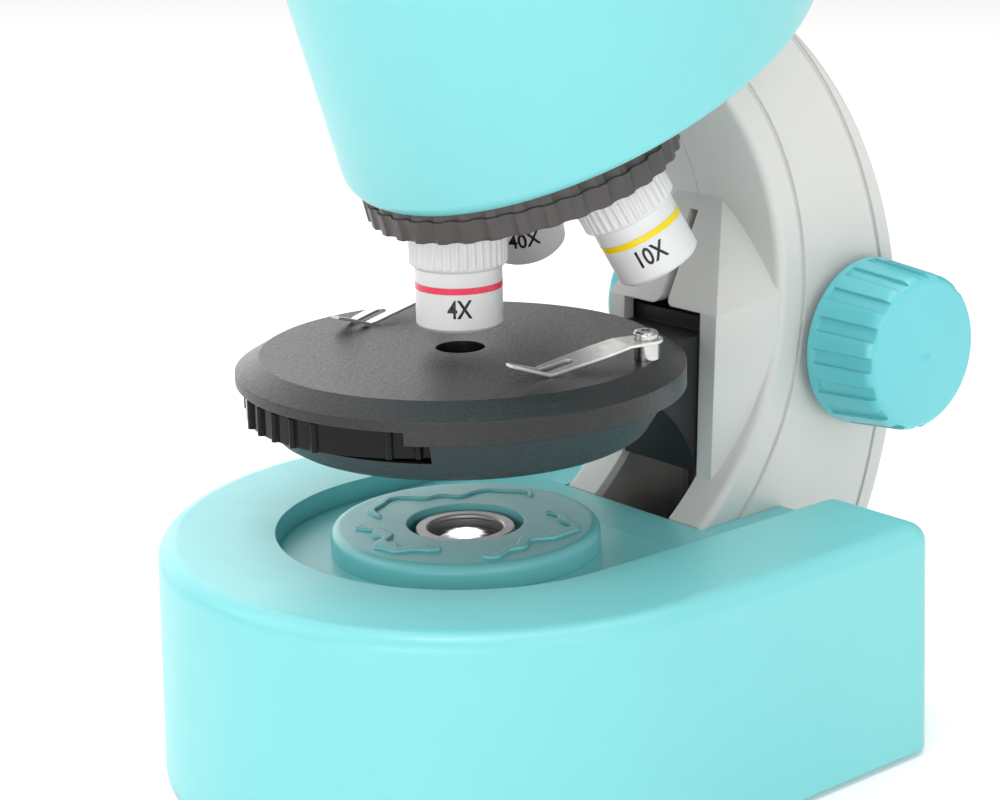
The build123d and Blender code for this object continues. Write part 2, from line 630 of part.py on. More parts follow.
def make_arm_shell(bore, counterbore):
    """Right half of the arm; the left half is its mirror image with larger screw holes."""
    with BuildPart() as shell:
        # side plate with its rim
        with BuildSketch(SIDE.offset(SEAM)):
            ring_profile(0, ARM_FOOT_Z, ARM_FRONT_Y, ARM_TIP_Y)
        extrude(amount=ARM_HALF - SEAM)
        rim_edges = shell.faces().sort_by(Axis.X)[-1].edges().filter_by(GeomType.CIRCLE)
        outer = rim_edges.filter_by(lambda edge: edge.radius > 80)
        inner = rim_edges.filter_by(lambda edge: edge.radius < 80)
        fillet(outer, 1.6)
        fillet(inner, 2.2)
        # hollow inside
        with BuildSketch(SIDE):
            ring_profile(-ARM_WALL, ARM_FOOT_Z + ARM_WALL, ARM_FRONT_Y + ARM_WALL, ARM_TIP_Y - 1)
        extrude(amount=ARM_HALF - ARM_WALL, mode=Mode.SUBTRACT)
        # hollow cheek and hood standing proud of the inner surface
        add(cheek_block(0))
        add(cheek_block(CHEEK_WALL), mode=Mode.SUBTRACT)
        # slot for the stage bracket
        with BuildSketch(SIDE):
            with Locations((56, (40 + HOOD_Z) / 2)):
                Rectangle(28, HOOD_Z - 40)
        extrude(amount=SLOT_HALF, mode=Mode.SUBTRACT)
        # gap between the two hoods, rounded at its mouth
        with BuildSketch(Plane.XZ.offset(-50)):
            with BuildLine():
                Polyline((0, 90), (HOOD_HALF + 2, 90), (HOOD_HALF + 2, HOOD_Z))
                ThreePointArc((HOOD_HALF + 2, HOOD_Z), (HOOD_HALF + 0.586, HOOD_Z + 0.586),
                              (HOOD_HALF, HOOD_Z + 2))
                Polyline((HOOD_HALF, HOOD_Z + 2), (HOOD_HALF, HOOD_TOP), (0, HOOD_TOP), (0, 90))
            make_face()
        extrude(amount=-32, mode=Mode.SUBTRACT)
        # two decorative grooves in the side plate
        with BuildSketch(SIDE.offset(ARM_HALF - 0.6)):
            for y, z, r in (ARM_GROOVE_OUT, ARM_GROOVE_IN):
                with Locations((y, z)):
                    Circle(r + 0.55)
                    Circle(r - 0.55, mode=Mode.SUBTRACT)
            with Locations((-50, 90)):
                Rectangle(200, 300, mode=Mode.SUBTRACT)
        extrude(amount=2, mode=Mode.SUBTRACT)
        # screw bosses
        for index, (y, z) in enumerate(BOSSES):
            inner = arm_boss_span(index)
            with BuildSketch(SIDE.offset(inner)):
                with Locations((y, z)):
                    Circle(3.4)
            extrude(amount=ARM_HALF - 1 - inner)
            with BuildSketch(SIDE.offset(inner)):
                with Locations((y, z)):
                    Circle(bore)
            extrude(amount=ARM_HALF - inner if counterbore else ARM_HALF - inner - 3, mode=Mode.SUBTRACT)
            if counterbore:
                with BuildSketch(SIDE.offset(ARM_HALF - 1.9)):
                    with Locations((y, z)):
                        Circle(3.0)
                extrude(amount=3, mode=Mode.SUBTRACT)
        # seat of the shaft bush
        with BuildSketch(SIDE.offset(ARM_HALF - ARM_WALL - 2)):
            with Locations((FOCUS_Y, FOCUS_Z)):
                Circle(5.02)
        extrude(amount=10, mode=Mode.SUBTRACT)
        # posts for the screws that come up through the base
        posts = [(x, y) for x, y in FOOT_SCREWS if x > 0]
        with BuildSketch(Plane.XY.offset(ARM_FOOT_Z)):
            with Locations(*posts):
                Circle(4)
        extrude(amount=11)
        with BuildSketch(Plane.XY.offset(ARM_FOOT_Z)):
            with Locations(*posts):
                Circle(1.42)
        extrude(amount=10, mode=Mode.SUBTRACT)
        # screw holes into the head frame
        with BuildSketch(SIDE.offset(ARM_HALF - ARM_WALL - 1)):
            with Locations(*FRAME_SCREWS):
                Circle(1.7)
        extrude(amount=6, mode=Mode.SUBTRACT)
        add(swing_cut(), mode=Mode.SUBTRACT)
    return shell.part


def make_arm():
    """Both arm shells, their screws and the frame screws."""
    right = make_arm_shell(1.42, False)
    save("arm_shell_right", right)
    left = mirror(make_arm_shell(1.7, True), about=Plane.YZ)
    save("arm_shell_left", left)
    with BuildPart() as screws:
        for y, z in BOSSES:
            plane = Plane(origin=(-ARM_HALF + 1.9, y, z), x_dir=(0, 1, 0), z_dir=(1, 0, 0))
            add(pan_screw(plane, 1.4, 2 * ARM_HALF - 5.4, 2.8, 1.7))
        for side in (-1, 1):
            for y, z in FRAME_SCREWS:
                plane = Plane(origin=(side * ARM_HALF, y, z), x_dir=(0, 1, 0), z_dir=(-side, 0, 0))
                add(pan_screw(plane, 1.4, 9, 2.7, 1.7))
    save("arm_screws", screws.part)


def make_guides():
    """Two steel rods and the moulded blocks that hold their ends."""
    with BuildPart() as rods:
        with BuildSketch(Plane.XY.offset(HOLDERS[0][0] + 0.5)):
            with Locations((-ROD_X, ROD_Y), (ROD_X, ROD_Y)):
                Circle(ROD_RADIUS)
        extrude(amount=HOLDERS[1][1] - HOLDERS[0][0] - 1)
        chamfer(rods.edges().filter_by(GeomType.CIRCLE), 0.4)
    save("guide_rods", rods.part)
    with BuildPart() as holders:
        for low, high, front, rear in HOLDERS:
            with BuildSketch(Plane.XY.offset(low)):
                with Locations((0, (front + rear) / 2)):
                    RectangleRounded(2 * HOLDER_X, rear - front, 1.2)
                with Locations((-ROD_X, ROD_Y), (ROD_X, ROD_Y)):
                    Circle(ROD_RADIUS, mode=Mode.SUBTRACT)
            extrude(amount=high - low)
        for y, z in BOSSES[: len(HOLDERS)]:
            with BuildSketch(SIDE.offset(-HOLDER_X - 1)):
                with Locations((y, z)):
                    Circle(1.7)
            extrude(amount=2 * HOLDER_X + 2, mode=Mode.SUBTRACT)
    save("guide_blocks", holders.part)


# ================================================================ focusing drive
def involute(base, radius):
    """Polar angle of an involute of the base circle at the given radius."""
    a = acos(base / radius)
    return tan(a) - a


def pinion_outline():
    """Closed outline of the pinion, one tooth centred on the sketch's -X direction."""
    base = PINION_PITCH * cos(GEAR_PRESSURE)
    tip = PINION_PITCH + GEAR_MODULE
    root = PINION_PITCH - 1.25 * GEAR_MODULE
    backlash = 0.05
    half = pi / (2 * PINION_TEETH) + involute(base, PINION_PITCH) - backlash / PINION_PITCH
    flank = [base + (tip - base) * i / 5 for i in range(6)]
    points = []
    for tooth in range(PINION_TEETH):
        middle = pi + 2 * pi * tooth / PINION_TEETH
        points.append((root, middle - half))
        points += [(r, middle - half + involute(base, r)) for r in flank]
        points += [(r, middle + half - involute(base, r)) for r in reversed(flank)]
        points.append((root, middle + half))
    return [(r * cos(a), r * sin(a)) for r, a in points]


def make_drive():
    """Shaft, pinion, rack and the brass bushes."""
    centre = Plane(origin=(0, FOCUS_Y, FOCUS_Z), x_dir=(0, 1, 0), z_dir=(1, 0, 0))
    with BuildPart() as shaft:
        with BuildSketch(centre.offset(-SHAFT_END)):
            Circle(SHAFT_RADIUS)
        extrude(amount=2 * SHAFT_END)
        chamfer(shaft.edges().filter_by(GeomType.CIRCLE), 0.4)
    save("focus_shaft", shaft.part)
    with BuildPart() as pinion:
        with BuildSketch(centre.offset(-6)):
            Polygon(*pinion_outline(), align=None)
            Circle(SHAFT_RADIUS, mode=Mode.SUBTRACT)
        extrude(amount=12)
        with BuildSketch(centre.offset(-10)):
            Circle(4.4)
            Circle(SHAFT_RADIUS, mode=Mode.SUBTRACT)
        extrude(amount=20)
    save("focus_pinion", pinion.part)
    pitch_y = FOCUS_Y - PINION_PITCH
    root_y = pitch_y - 1.25 * GEAR_MODULE
    tip_y = pitch_y + 0.66 * GEAR_MODULE
    pitch = pi * GEAR_MODULE
    lean = tan(GEAR_PRESSURE)
    half = pitch / 4 - 0.05
    with BuildPart() as rack:
        with BuildSketch(SIDE.offset(-5)):
            with Locations(((CARRIAGE_REAR + root_y) / 2, 93)):
                Rectangle(root_y - CARRIAGE_REAR, 46)
            for k in range(-2, 9):
                z = FOCUS_Z + (k + 0.5) * pitch
                low = half + (pitch_y - root_y) * lean
                high = half - (tip_y - pitch_y) * lean
                Polygon((root_y - 0.1, z - low), (root_y, z - low), (tip_y, z - high), (tip_y, z + high),
                        (root_y, z + low), (root_y - 0.1, z + low), align=None)
        extrude(amount=10)
        with BuildSketch(Plane.XZ.offset(-CARRIAGE_REAR + 1)):
            with Locations((0, 73)):
                Circle(1.7)
        extrude(amount=-8, mode=Mode.SUBTRACT)
    save("focus_rack", rack.part)
    with BuildPart() as bushes:
        for side in (-1, 1):
            with BuildSketch(centre.offset(side * (ARM_HALF - 4))):
                Circle(5)
            extrude(amount=side * 4.0)
            with BuildSketch(centre.offset(side * ARM_HALF)):
                Circle(7)
            extrude(amount=side * 1.6)
        with BuildSketch(centre.offset(-SHAFT_END)):
            Circle(SHAFT_RADIUS + RUNNING)
        extrude(amount=2 * SHAFT_END, mode=Mode.SUBTRACT)
    save("shaft_bushes", bushes.part)


def make_knob():
    """Right focusing knob: tapered, with flat-topped grip ribs and a slightly domed face."""
    centre = Plane(origin=(0, FOCUS_Y, FOCUS_Z), x_dir=(0, 1, 0), z_dir=(1, 0, 0))
    axis = Axis((0, FOCUS_Y, FOCUS_Z), (1, 0, 0))
    top = FOCUS_Z + KNOB_RADIUS
    face = KNOB_RADIUS - 3.3
    dome = 0.6
    with BuildPart(mode=Mode.PRIVATE) as groove:
        with BuildSketch(Plane(origin=(0, FOCUS_Y, 0), x_dir=(1, 0, 0), z_dir=(0, -1, 0))):
            Polygon((KNOB_INNER + 2.4, top - 0.9), (KNOB_OUTER + 1, top - 2.75), (KNOB_OUTER + 1, top + 3),
                    (KNOB_INNER + 2.4, top + 3), align=None)
        extrude(amount=1.7, both=True)
    with BuildPart() as knob:
        with BuildSketch(Plane.XY.offset(FOCUS_Z)):
            with BuildLine():
                Polyline((KNOB_INNER, FOCUS_Y), (KNOB_INNER, FOCUS_Y + KNOB_RADIUS - 0.8),
                         (KNOB_INNER + 0.8, FOCUS_Y + KNOB_RADIUS),
                         (KNOB_OUTER - 3.4, FOCUS_Y + KNOB_RADIUS - 1.4))
                ThreePointArc((KNOB_OUTER - 3.4, FOCUS_Y + KNOB_RADIUS - 1.4),
                              (KNOB_OUTER - 1.5, FOCUS_Y + KNOB_RADIUS - 2.1),
                              (KNOB_OUTER - dome, FOCUS_Y + face))
                ThreePointArc((KNOB_OUTER - dome, FOCUS_Y + face),
                              (KNOB_OUTER - dome + dome_height(face, dome, face / 2), FOCUS_Y + face / 2),
                              (KNOB_OUTER, FOCUS_Y))
                Line((KNOB_OUTER, FOCUS_Y), (KNOB_INNER, FOCUS_Y))
            make_face()
        revolve(axis=axis)
        # grooves between the ribs, closed towards the arm by a narrow rim
        for rib in range(KNOB_RIBS):
            add(groove.part.rotate(axis, 360 * rib / KNOB_RIBS), mode=Mode.SUBTRACT)
        # hollow back with a hub around the shaft
        with BuildSketch(centre.offset(KNOB_INNER)):
            Circle(KNOB_RADIUS - 4.6)
            Circle(5, mode=Mode.SUBTRACT)
        extrude(amount=14, mode=Mode.SUBTRACT)
        with BuildSketch(centre.offset(KNOB_INNER)):
            Circle(SHAFT_RADIUS)
        extrude(amount=SHAFT_END - KNOB_INNER, mode=Mode.SUBTRACT)
    return knob.part


def make_knobs():
    """Both focusing knobs."""
    right = make_knob()
    save("focus_knob_right", right)
    save("focus_knob_left", mirror(right, about=Plane.YZ))


# ================================================================ stage
def notch(height_low, height_high, radius_in, end):
    """Sector cut from the rim so that a finger reaches the diaphragm wheel."""
    with BuildPart(mode=Mode.PRIVATE) as sector:
        with BuildSketch(Plane.XZ):
            with Locations(((radius_in + 56) / 2, (height_low + height_high) / 2)):
                Rectangle(56 - radius_in, height_high - height_low)
        revolve(axis=Axis.Z, revolution_arc=end - NOTCH_FROM)
    return sector.part.rotate(Axis.Z, NOTCH_FROM)


def make_stage_plate():
    """Round stage with a bevelled top, a skirt and the light hole."""
    with BuildPart() as plate:
        with BuildSketch(Plane.XZ):
            with BuildLine():
                Polyline((0, 93.2), (47.3, 93.2), (47.3, STAGE_RIM_BOTTOM), (STAGE_RADIUS, STAGE_RIM_BOTTOM),
                         (STAGE_RADIUS, STAGE_RIM_TOP), (STAGE_FLAT, STAGE_TOP), (0, STAGE_TOP), (0, 93.2))
            make_face()
        revolve(axis=Axis.Z)
        # bosses for the bracket screws and the wheel pivot
        with BuildSketch(Plane.XY.offset(BODY_BOTTOM + 2)):
            with Locations(*STAGE_SCREWS):
                Circle(2.8)
        extrude(amount=94 - BODY_BOTTOM - 2)
        with BuildSketch(Plane.XY.offset(BODY_BOTTOM)):
            with Locations(*STAGE_SCREWS):
                Circle(1.42)
        extrude(amount=14, mode=Mode.SUBTRACT)
        with BuildSketch(Plane.XY.offset(WHEEL_TOP + 0.2)):
            with Locations((WHEEL_X, WHEEL_Y)):
                Circle(3.2)
        extrude(amount=4.5)
        with BuildSketch(Plane.XY.offset(86)):
            with Locations((WHEEL_X, WHEEL_Y)):
                Circle(1.02)
        extrude(amount=8.6, mode=Mode.SUBTRACT)
        with BuildSketch(Plane.XY.offset(86)):
            Circle(STAGE_HOLE)
        extrude(amount=20, mode=Mode.SUBTRACT)
        with BuildSketch(Plane.XY.offset(86)):
            with Locations((-CLIP_X, CLIP_Y), (CLIP_X, CLIP_Y)):
                Circle(1.5)
        extrude(amount=20, mode=Mode.SUBTRACT)
        add(notch(STAGE_RIM_BOTTOM - 1, 90.7, 45, NOTCH_TO), mode=Mode.SUBTRACT)
    save("stage_plate", plate.part)


def make_stage_body():
    """Tapered cup under the stage that houses the diaphragm wheel."""
    slope = (BODY_TOP_RADIUS - BODY_BOTTOM_RADIUS) / (STAGE_RIM_BOTTOM - BODY_BOTTOM)
    with BuildPart() as cup:
        with BuildSketch(Plane.XZ):
            with BuildLine():
                Polyline((0, BODY_BOTTOM), (BODY_BOTTOM_RADIUS - 1.2, BODY_BOTTOM),
                         (BODY_BOTTOM_RADIUS + 1.2 * slope, BODY_BOTTOM + 1.2),
                         (BODY_TOP_RADIUS, STAGE_RIM_BOTTOM), (BODY_TOP_RADIUS, 90.5),
                         (BODY_TOP_RADIUS - 1.8, 90.5),
                         (BODY_TOP_RADIUS - 1.8, STAGE_RIM_BOTTOM),
                         (BODY_BOTTOM_RADIUS - 0.6, BODY_BOTTOM + 2), (0, BODY_BOTTOM + 2), (0, BODY_BOTTOM))
            make_face()
        revolve(axis=Axis.Z)
        with BuildSketch(Plane.XY.offset(BODY_BOTTOM - 1)):
            Circle(9)
            with Locations(*STAGE_SCREWS):
                Circle(1.7)
        extrude(amount=5, mode=Mode.SUBTRACT)
        with BuildSketch(Plane.XY.offset(WHEEL_BOTTOM - 0.7)):
            with Locations((WHEEL_X, WHEEL_Y)):
                Circle(WHEEL_RADIUS + 1.1)
        extrude(amount=10, mode=Mode.SUBTRACT)
        add(notch(WHEEL_BOTTOM - 0.7, STAGE_RIM_BOTTOM, 40, CUP_NOTCH_TO), mode=Mode.SUBTRACT)
        add(notch(WHEEL_BOTTOM - 0.7, 93, 40, NOTCH_TO), mode=Mode.SUBTRACT)
    save("stage_body", cup.part)


def make_wheel():
    """Diaphragm wheel with six apertures and grip ribs, and its pivot screw."""
    reach = hypot(WHEEL_X, WHEEL_Y)
    start = degrees(atan2(-WHEEL_Y, -WHEEL_X))
    with BuildPart() as wheel:
        with BuildSketch(Plane.XY.offset(WHEEL_BOTTOM)):
            with Locations((WHEEL_X, WHEEL_Y)):
                Circle(WHEEL_RADIUS - 0.5)
                for group in range(6):
                    with PolarLocations(WHEEL_RADIUS - 0.35, 5, start_angle=start + 60 * group + 8,
                                        angular_range=44):
                        Circle(0.85)
        extrude(amount=WHEEL_TOP - WHEEL_BOTTOM)
        with BuildSketch(Plane.XY.offset(WHEEL_BOTTOM)):
            with Locations((WHEEL_X, WHEEL_Y)):
                Circle(WHEEL_RADIUS - 3)
                Circle(3.6, mode=Mode.SUBTRACT)
        extrude(amount=WHEEL_TOP - WHEEL_BOTTOM - 1.8, mode=Mode.SUBTRACT)
        with BuildSketch(Plane.XY.offset(WHEEL_BOTTOM)):
            with Locations((WHEEL_X, WHEEL_Y)):
                Circle(1.85)
        extrude(amount=10, mode=Mode.SUBTRACT)
        for index, radius in enumerate(APERTURES):
            angle = radians(start + 60 * index)
            with BuildSketch(Plane.XY.offset(WHEEL_BOTTOM)):
                with Locations((WHEEL_X + reach * cos(angle), WHEEL_Y + reach * sin(angle))):
                    Circle(radius)
            extrude(amount=10, mode=Mode.SUBTRACT)
        with BuildSketch(Plane.XY.offset(WHEEL_BOTTOM - 1)):
            with Locations((WHEEL_X, WHEEL_Y)):
                Circle(3.7)
        extrude(amount=3.2, mode=Mode.SUBTRACT)
    save("diaphragm_wheel", wheel.part)
    with BuildPart() as pivot:
        with BuildSketch(Plane.XY.offset(WHEEL_BOTTOM + 2.0)):
            with Locations((WHEEL_X, WHEEL_Y)):
                Circle(1.8)
        extrude(amount=WHEEL_TOP - WHEEL_BOTTOM - 1.8)
        with BuildSketch(Plane.XY.offset(WHEEL_TOP)):
            with Locations((WHEEL_X, WHEEL_Y)):
                Circle(1.0)
        extrude(amount=4.6)
        with BuildSketch(Plane.XY.offset(WHEEL_BOTTOM + 0.6)):
            with Locations((WHEEL_X, WHEEL_Y)):
                Circle(3.2)
        extrude(amount=1.4)
        with BuildSketch(Plane.XY.offset(WHEEL_BOTTOM)):
            with Locations((WHEEL_X, WHEEL_Y)):
                Rectangle(8, 0.8)
        extrude(amount=1.1, mode=Mode.SUBTRACT)
    save("diaphragm_pivot", pivot.part)


def make_bracket():
    """Bracket that carries the stage and slides on the two rods."""
    neck = SLOT_HALF - 0.5
    with BuildPart() as bracket:
        with BuildSketch(Plane.XY.offset(70)):
            with Locations((0, (CARRIAGE_FRONT + CARRIAGE_REAR) / 2)):
                Rectangle(2 * CARRIAGE_HALF, CARRIAGE_REAR - CARRIAGE_FRONT)
        extrude(amount=23.5)
        # neck through the slot, arched below
        with BuildSketch(SIDE.offset(-neck)):
            with BuildLine():
                Polyline((CARRIAGE_FRONT + 1, 56.8), (CARRIAGE_FRONT + 1, 90), (50.3, 90),
                         (50.3, BODY_BOTTOM),
                         (33, BODY_BOTTOM), (33, BODY_BOTTOM - 3.2), (49.4, BODY_BOTTOM - 3.2))
                ThreePointArc((49.4, BODY_BOTTOM - 3.2), (57, 65.6), (60.7, 56.8))
                Line((60.7, 56.8), (CARRIAGE_FRONT + 1, 56.8))
            make_face()
        extrude(amount=2 * neck)
        # hollow behind the arch
        with BuildSketch(SIDE.offset(-neck + 2.5)):
            with BuildLine():
                Polyline((CARRIAGE_FRONT + 1, 56), (CARRIAGE_FRONT + 1, 70), (56.5, 70))
                ThreePointArc((56.5, 70), (60.2, 66), (63.2, 56))
                Line((63.2, 56), (CARRIAGE_FRONT + 1, 56))
            make_face()
        extrude(amount=2 * neck - 5, mode=Mode.SUBTRACT)
        # light openings in the carriage block
        with BuildSketch(SIDE.offset(-20)):
            with Locations((71, 84)):
                Rectangle(9, 17)
        extrude(amount=40, mode=Mode.SUBTRACT)
        with BuildSketch(Plane.XY.offset(60)):
            with Locations((-ROD_X, ROD_Y), (ROD_X, ROD_Y)):
                Circle(ROD_RADIUS + RUNNING)
        extrude(amount=60, mode=Mode.SUBTRACT)
        with BuildSketch(Plane.XY.offset(70)):
            with Locations(*STAGE_SCREWS):
                Circle(1.7)
        extrude(amount=10, mode=Mode.SUBTRACT)
        with BuildSketch(Plane.XY.offset(BODY_BOTTOM - 3.2)):
            with Locations(*STAGE_SCREWS):
                Circle(3.1)
        extrude(amount=-10, mode=Mode.SUBTRACT)
        with BuildSketch(Plane.XZ.offset(-CARRIAGE_REAR)):
            with Locations((0, 73)):
                Circle(1.42)
        extrude(amount=9, mode=Mode.SUBTRACT)
    save("stage_bracket", bracket.part)
    with BuildPart() as screws:
        for x, y in STAGE_SCREWS:
            plane = Plane(origin=(x, y, BODY_BOTTOM - 3.2), x_dir=(1, 0, 0), z_dir=(0, 0, 1))
            add(pan_screw(plane, 1.4, 14, 2.8, 1.7))
        rack_back = FOCUS_Y - PINION_PITCH - 1.25 * GEAR_MODULE
        rack_plane = Plane(origin=(0, rack_back, 73), x_dir=(1, 0, 0), z_dir=(0, -1, 0))
        add(pan_screw(rack_plane, 1.4, 9, 2.8, 1.7))
    save("stage_screws", screws.part)


def make_clip(angle):
    """Spring-steel clip: bent strip with a slot near the lifted tip, around its post."""
    low = STAGE_TOP + CLIP_LIFT
    touch = STAGE_TOP + 0.15
    with BuildPart() as clip:
        with BuildSketch(Plane.XZ.offset(-12)):
            with BuildLine():
                Polyline((-4.2, low), (6.0, low), (25.5, touch), (CLIP_LENGTH, touch + 2.6),
                         (CLIP_LENGTH - 0.2, touch + 2.6 + CLIP_SHEET), (25.4, touch + CLIP_SHEET),
                         (6.1, low + CLIP_SHEET), (-4.2, low + CLIP_SHEET), (-4.2, low))
            make_face()
        extrude(amount=24)
        with BuildSketch(Plane.XY.offset(STAGE_TOP)):
            with BuildLine():
                ThreePointArc((0, 3.7), (-3.7, 0), (0, -3.7))
                Line((0, -3.7), (12, -4.4))
                Line((12, -4.4), (24, -3.9))
                Line((24, -3.9), (CLIP_LENGTH, -1.3))
                Line((CLIP_LENGTH, -1.3), (CLIP_LENGTH, 1.3))
                Line((CLIP_LENGTH, 1.3), (24, 3.9))
                Line((24, 3.9), (12, 4.4))
                Line((12, 4.4), (0, 3.7))
            make_face()
            Circle(1.56, mode=Mode.SUBTRACT)
            with Locations((23.6, 0)):
                SlotOverall(11.4, 3.0, mode=Mode.SUBTRACT)
        extrude(amount=12, mode=Mode.INTERSECT)
    return clip.part.rotate(Axis.Z, angle)


def make_clips():
    """Two clips, their spacer posts and screws."""
    save("clip_right", make_clip(-102).moved(Location((CLIP_X, CLIP_Y, 0))))
    save("clip_left", make_clip(-84).moved(Location((-CLIP_X, CLIP_Y, 0))))
    with BuildPart() as posts:
        with BuildSketch(Plane.XY.offset(STAGE_TOP)):
            with Locations((-CLIP_X, CLIP_Y), (CLIP_X, CLIP_Y)):
                Circle(2.9)
                Circle(1.5, mode=Mode.SUBTRACT)
        extrude(amount=CLIP_LIFT - 0.05)
    save("clip_posts", posts.part)
    with BuildPart() as screws:
        for x in (-CLIP_X, CLIP_X):
            plane = Plane(
                origin=(x, CLIP_Y, STAGE_TOP + CLIP_LIFT + CLIP_SHEET + 0.05),
                x_dir=(1, 0, 0),
                z_dir=(0, 0, -1),
            )
            add(pan_screw(plane, 1.5, 8.4, 2.7, 1.8))
    save("clip_screws", screws.part)


# ================================================================ turret and objectives
def scalloped_disc(radius):
    """Disc with shallow scallops, added to the sketch in progress."""
    Circle(radius)
    with PolarLocations(radius + 2.4, 36, start_angle=4.5):
        Circle(3.2, mode=Mode.SUBTRACT)


def make_turret():
    """Revolving nosepiece: scalloped rim, closed underside, three angled sockets and a pivot boss."""
    with BuildPart() as turret:
        with BuildSketch(TURRET):
            scalloped_disc(TURRET_RADIUS)
        extrude(amount=5)
        with BuildSketch(TURRET.offset(5)):
            scalloped_disc(TURRET_RADIUS - 0.6)
        extrude(amount=7, taper=7)
        with BuildSketch(TURRET):
            Circle(32.6)
        extrude(amount=2.6, mode=Mode.SUBTRACT)
        with BuildSketch(TURRET.offset(4.8)):
            Circle(30.5)
        extrude(amount=4.8, mode=Mode.SUBTRACT)
        with BuildSketch(TURRET):
            Circle(6.8)
        extrude(amount=12)
        for turn in (0, 120, -120):
            with BuildPart(mode=Mode.PRIVATE) as socket:
                with BuildSketch(Plane.XY.offset(125)):
                    Circle(12.0)
                extrude(amount=13)
            add(socket.part.rotate(TURRET_AXIS, turn))
        # top stays flat
        with BuildSketch(TURRET.offset(12)):
            Circle(50)
        extrude(amount=10, mode=Mode.SUBTRACT)
        for turn in (0, 120, -120):
            with BuildPart(mode=Mode.PRIVATE) as bore:
                with BuildSketch(Plane.XY.offset(120)):
                    Circle(8.0)
                extrude(amount=13)
                with BuildSketch(Plane.XY.offset(130)):
                    Circle(6.2)
                extrude(amount=20)
            add(bore.part.rotate(TURRET_AXIS, turn), mode=Mode.SUBTRACT)
        with BuildSketch(TURRET.offset(-3)):
            Circle(3.0 + RUNNING)
        extrude(amount=20, mode=Mode.SUBTRACT)
    save("turret", turret.part)
    with BuildPart() as pivot:
        with BuildSketch(TURRET.offset(-0.4)):
            Circle(3.0)
        extrude(amount=12.6)
        with BuildSketch(TURRET.offset(12)):
            Circle(2.4)
        extrude(amount=3.9)
        with BuildSketch(TURRET.offset(-2.6)):
            Circle(5.6)
        extrude(amount=2.2)
        chamfer(pivot.faces().sort_by(Axis(TURRET.origin, TURRET.z_dir))[0].outer_wire().edges(), 0.5)
        with BuildSketch(TURRET.offset(-3)):
            Rectangle(14, 1.2)
        extrude(amount=1.5, mode=Mode.SUBTRACT)
    save("turret_pivot", pivot.part)


def objective_parts(tip):
    """Barrel, colour ring and front lens of an objective that hangs on the optical axis.

    tip lists (radius, distance from the common apex) below the barrel's lower edge.
    """
    flange = 71.2
    ring_top = 84.75
    ring_bottom = 86.15

    def z(distance):
        return APEX_Z - distance

    last = tip[-1]
    with BuildPart() as barrel:
        with BuildSketch(Plane.XZ):
            with BuildLine():
                Polyline((0, z(64)), (7.95, z(64)), (7.95, z(flange)), (COLLAR - 0.4, z(flange)),
                         (COLLAR - 0.4, z(80.9)), (COLLAR - 0.9, z(81.4)), (BARREL, z(81.4)),
                         (BARREL, z(ring_top)),
                         (BARREL - 0.5, z(ring_top)), (BARREL - 0.5, z(ring_bottom)),
                         (BARREL, z(ring_bottom)),
                         (BARREL, z(tip[0][1] - 0.8)), *[(r, z(d)) for r, d in tip], (0, z(last[1])),
                         (0, z(64)))
            make_face()
        revolve(axis=Axis.Z)
        with BuildSketch(Plane.XY.offset(z(80.6))):
            Circle(COLLAR - 0.5)
            with PolarLocations(COLLAR - 0.55, 36):
                Circle(0.55)
        extrude(amount=80.6 - flange - 0.3)
        with BuildSketch(Plane.XY.offset(z(last[1] - 1.2))):
            Circle(min(6.0, last[0] - 0.9))
        extrude(amount=60, mode=Mode.SUBTRACT)
        with BuildSketch(Plane.XY.offset(z(last[1] + 1))):
            Circle(last[0] - 1.5)
        extrude(amount=5, mode=Mode.SUBTRACT)
    with BuildPart() as ring:
        with BuildSketch(Plane.XY.offset(z(ring_bottom))):
            Circle(BARREL + 0.06)
            Circle(BARREL - 0.5, mode=Mode.SUBTRACT)
        extrude(amount=ring_bottom - ring_top)
    with BuildPart() as lens:
        with BuildSketch(Plane.XY.offset(z(last[1] - 1.2))):
            Circle(min(6.0, last[0] - 0.9) - 0.02)
        extrude(amount=1.6)
    return barrel.part, ring.part, lens.part


def make_objectives():
    """Low, middle and high power objectives in their sockets."""
    kinds = {
        "4x": (0, [(8.9, 94.9), (7.6, 95.3)]),
        "10x": (120, [(8.9, 95.2), (6.4, 95.7)]),
        "40x": (-120, [(8.9, 97.0), (6.0, 97.6), (4.4, 98.7)]),
    }
    for label, (turn, tip) in kinds.items():
        barrel, ring, lens = objective_parts(tip)
        save(f"objective_{label}_barrel", barrel.rotate(TURRET_AXIS, turn))
        save(f"objective_{label}_ring", ring.rotate(TURRET_AXIS, turn))
        save(f"objective_{label}_lens", lens.rotate(TURRET_AXIS, turn))


# ================================================================ head
def head_radius(z):
    """Outer radius of the flared head at a height."""
    return HEAD_RADIUS_LOW + HEAD_SLOPE * (z - HEAD_Z_LOW)


def head_cone(low, high, inset, rounding):
    """Solid upright cone of the head between two heights, rounded at the top."""
    with BuildPart(mode=Mode.PRIVATE) as cone:
        with BuildSketch(Plane(origin=(0, HEAD_Y, 0), x_dir=(1, 0, 0), z_dir=(0, -1, 0))) as profile:
            Polygon((0, low), (head_radius(low) - inset, low), (head_radius(high) - inset, high), (0, high),
                    align=None)
            fillet(profile.vertices().group_by(Axis.Z)[-1].sort_by(Axis.X)[-1], rounding)
        revolve(axis=Axis((0, HEAD_Y, 0), (0, 0, 1)))
    return cone.part


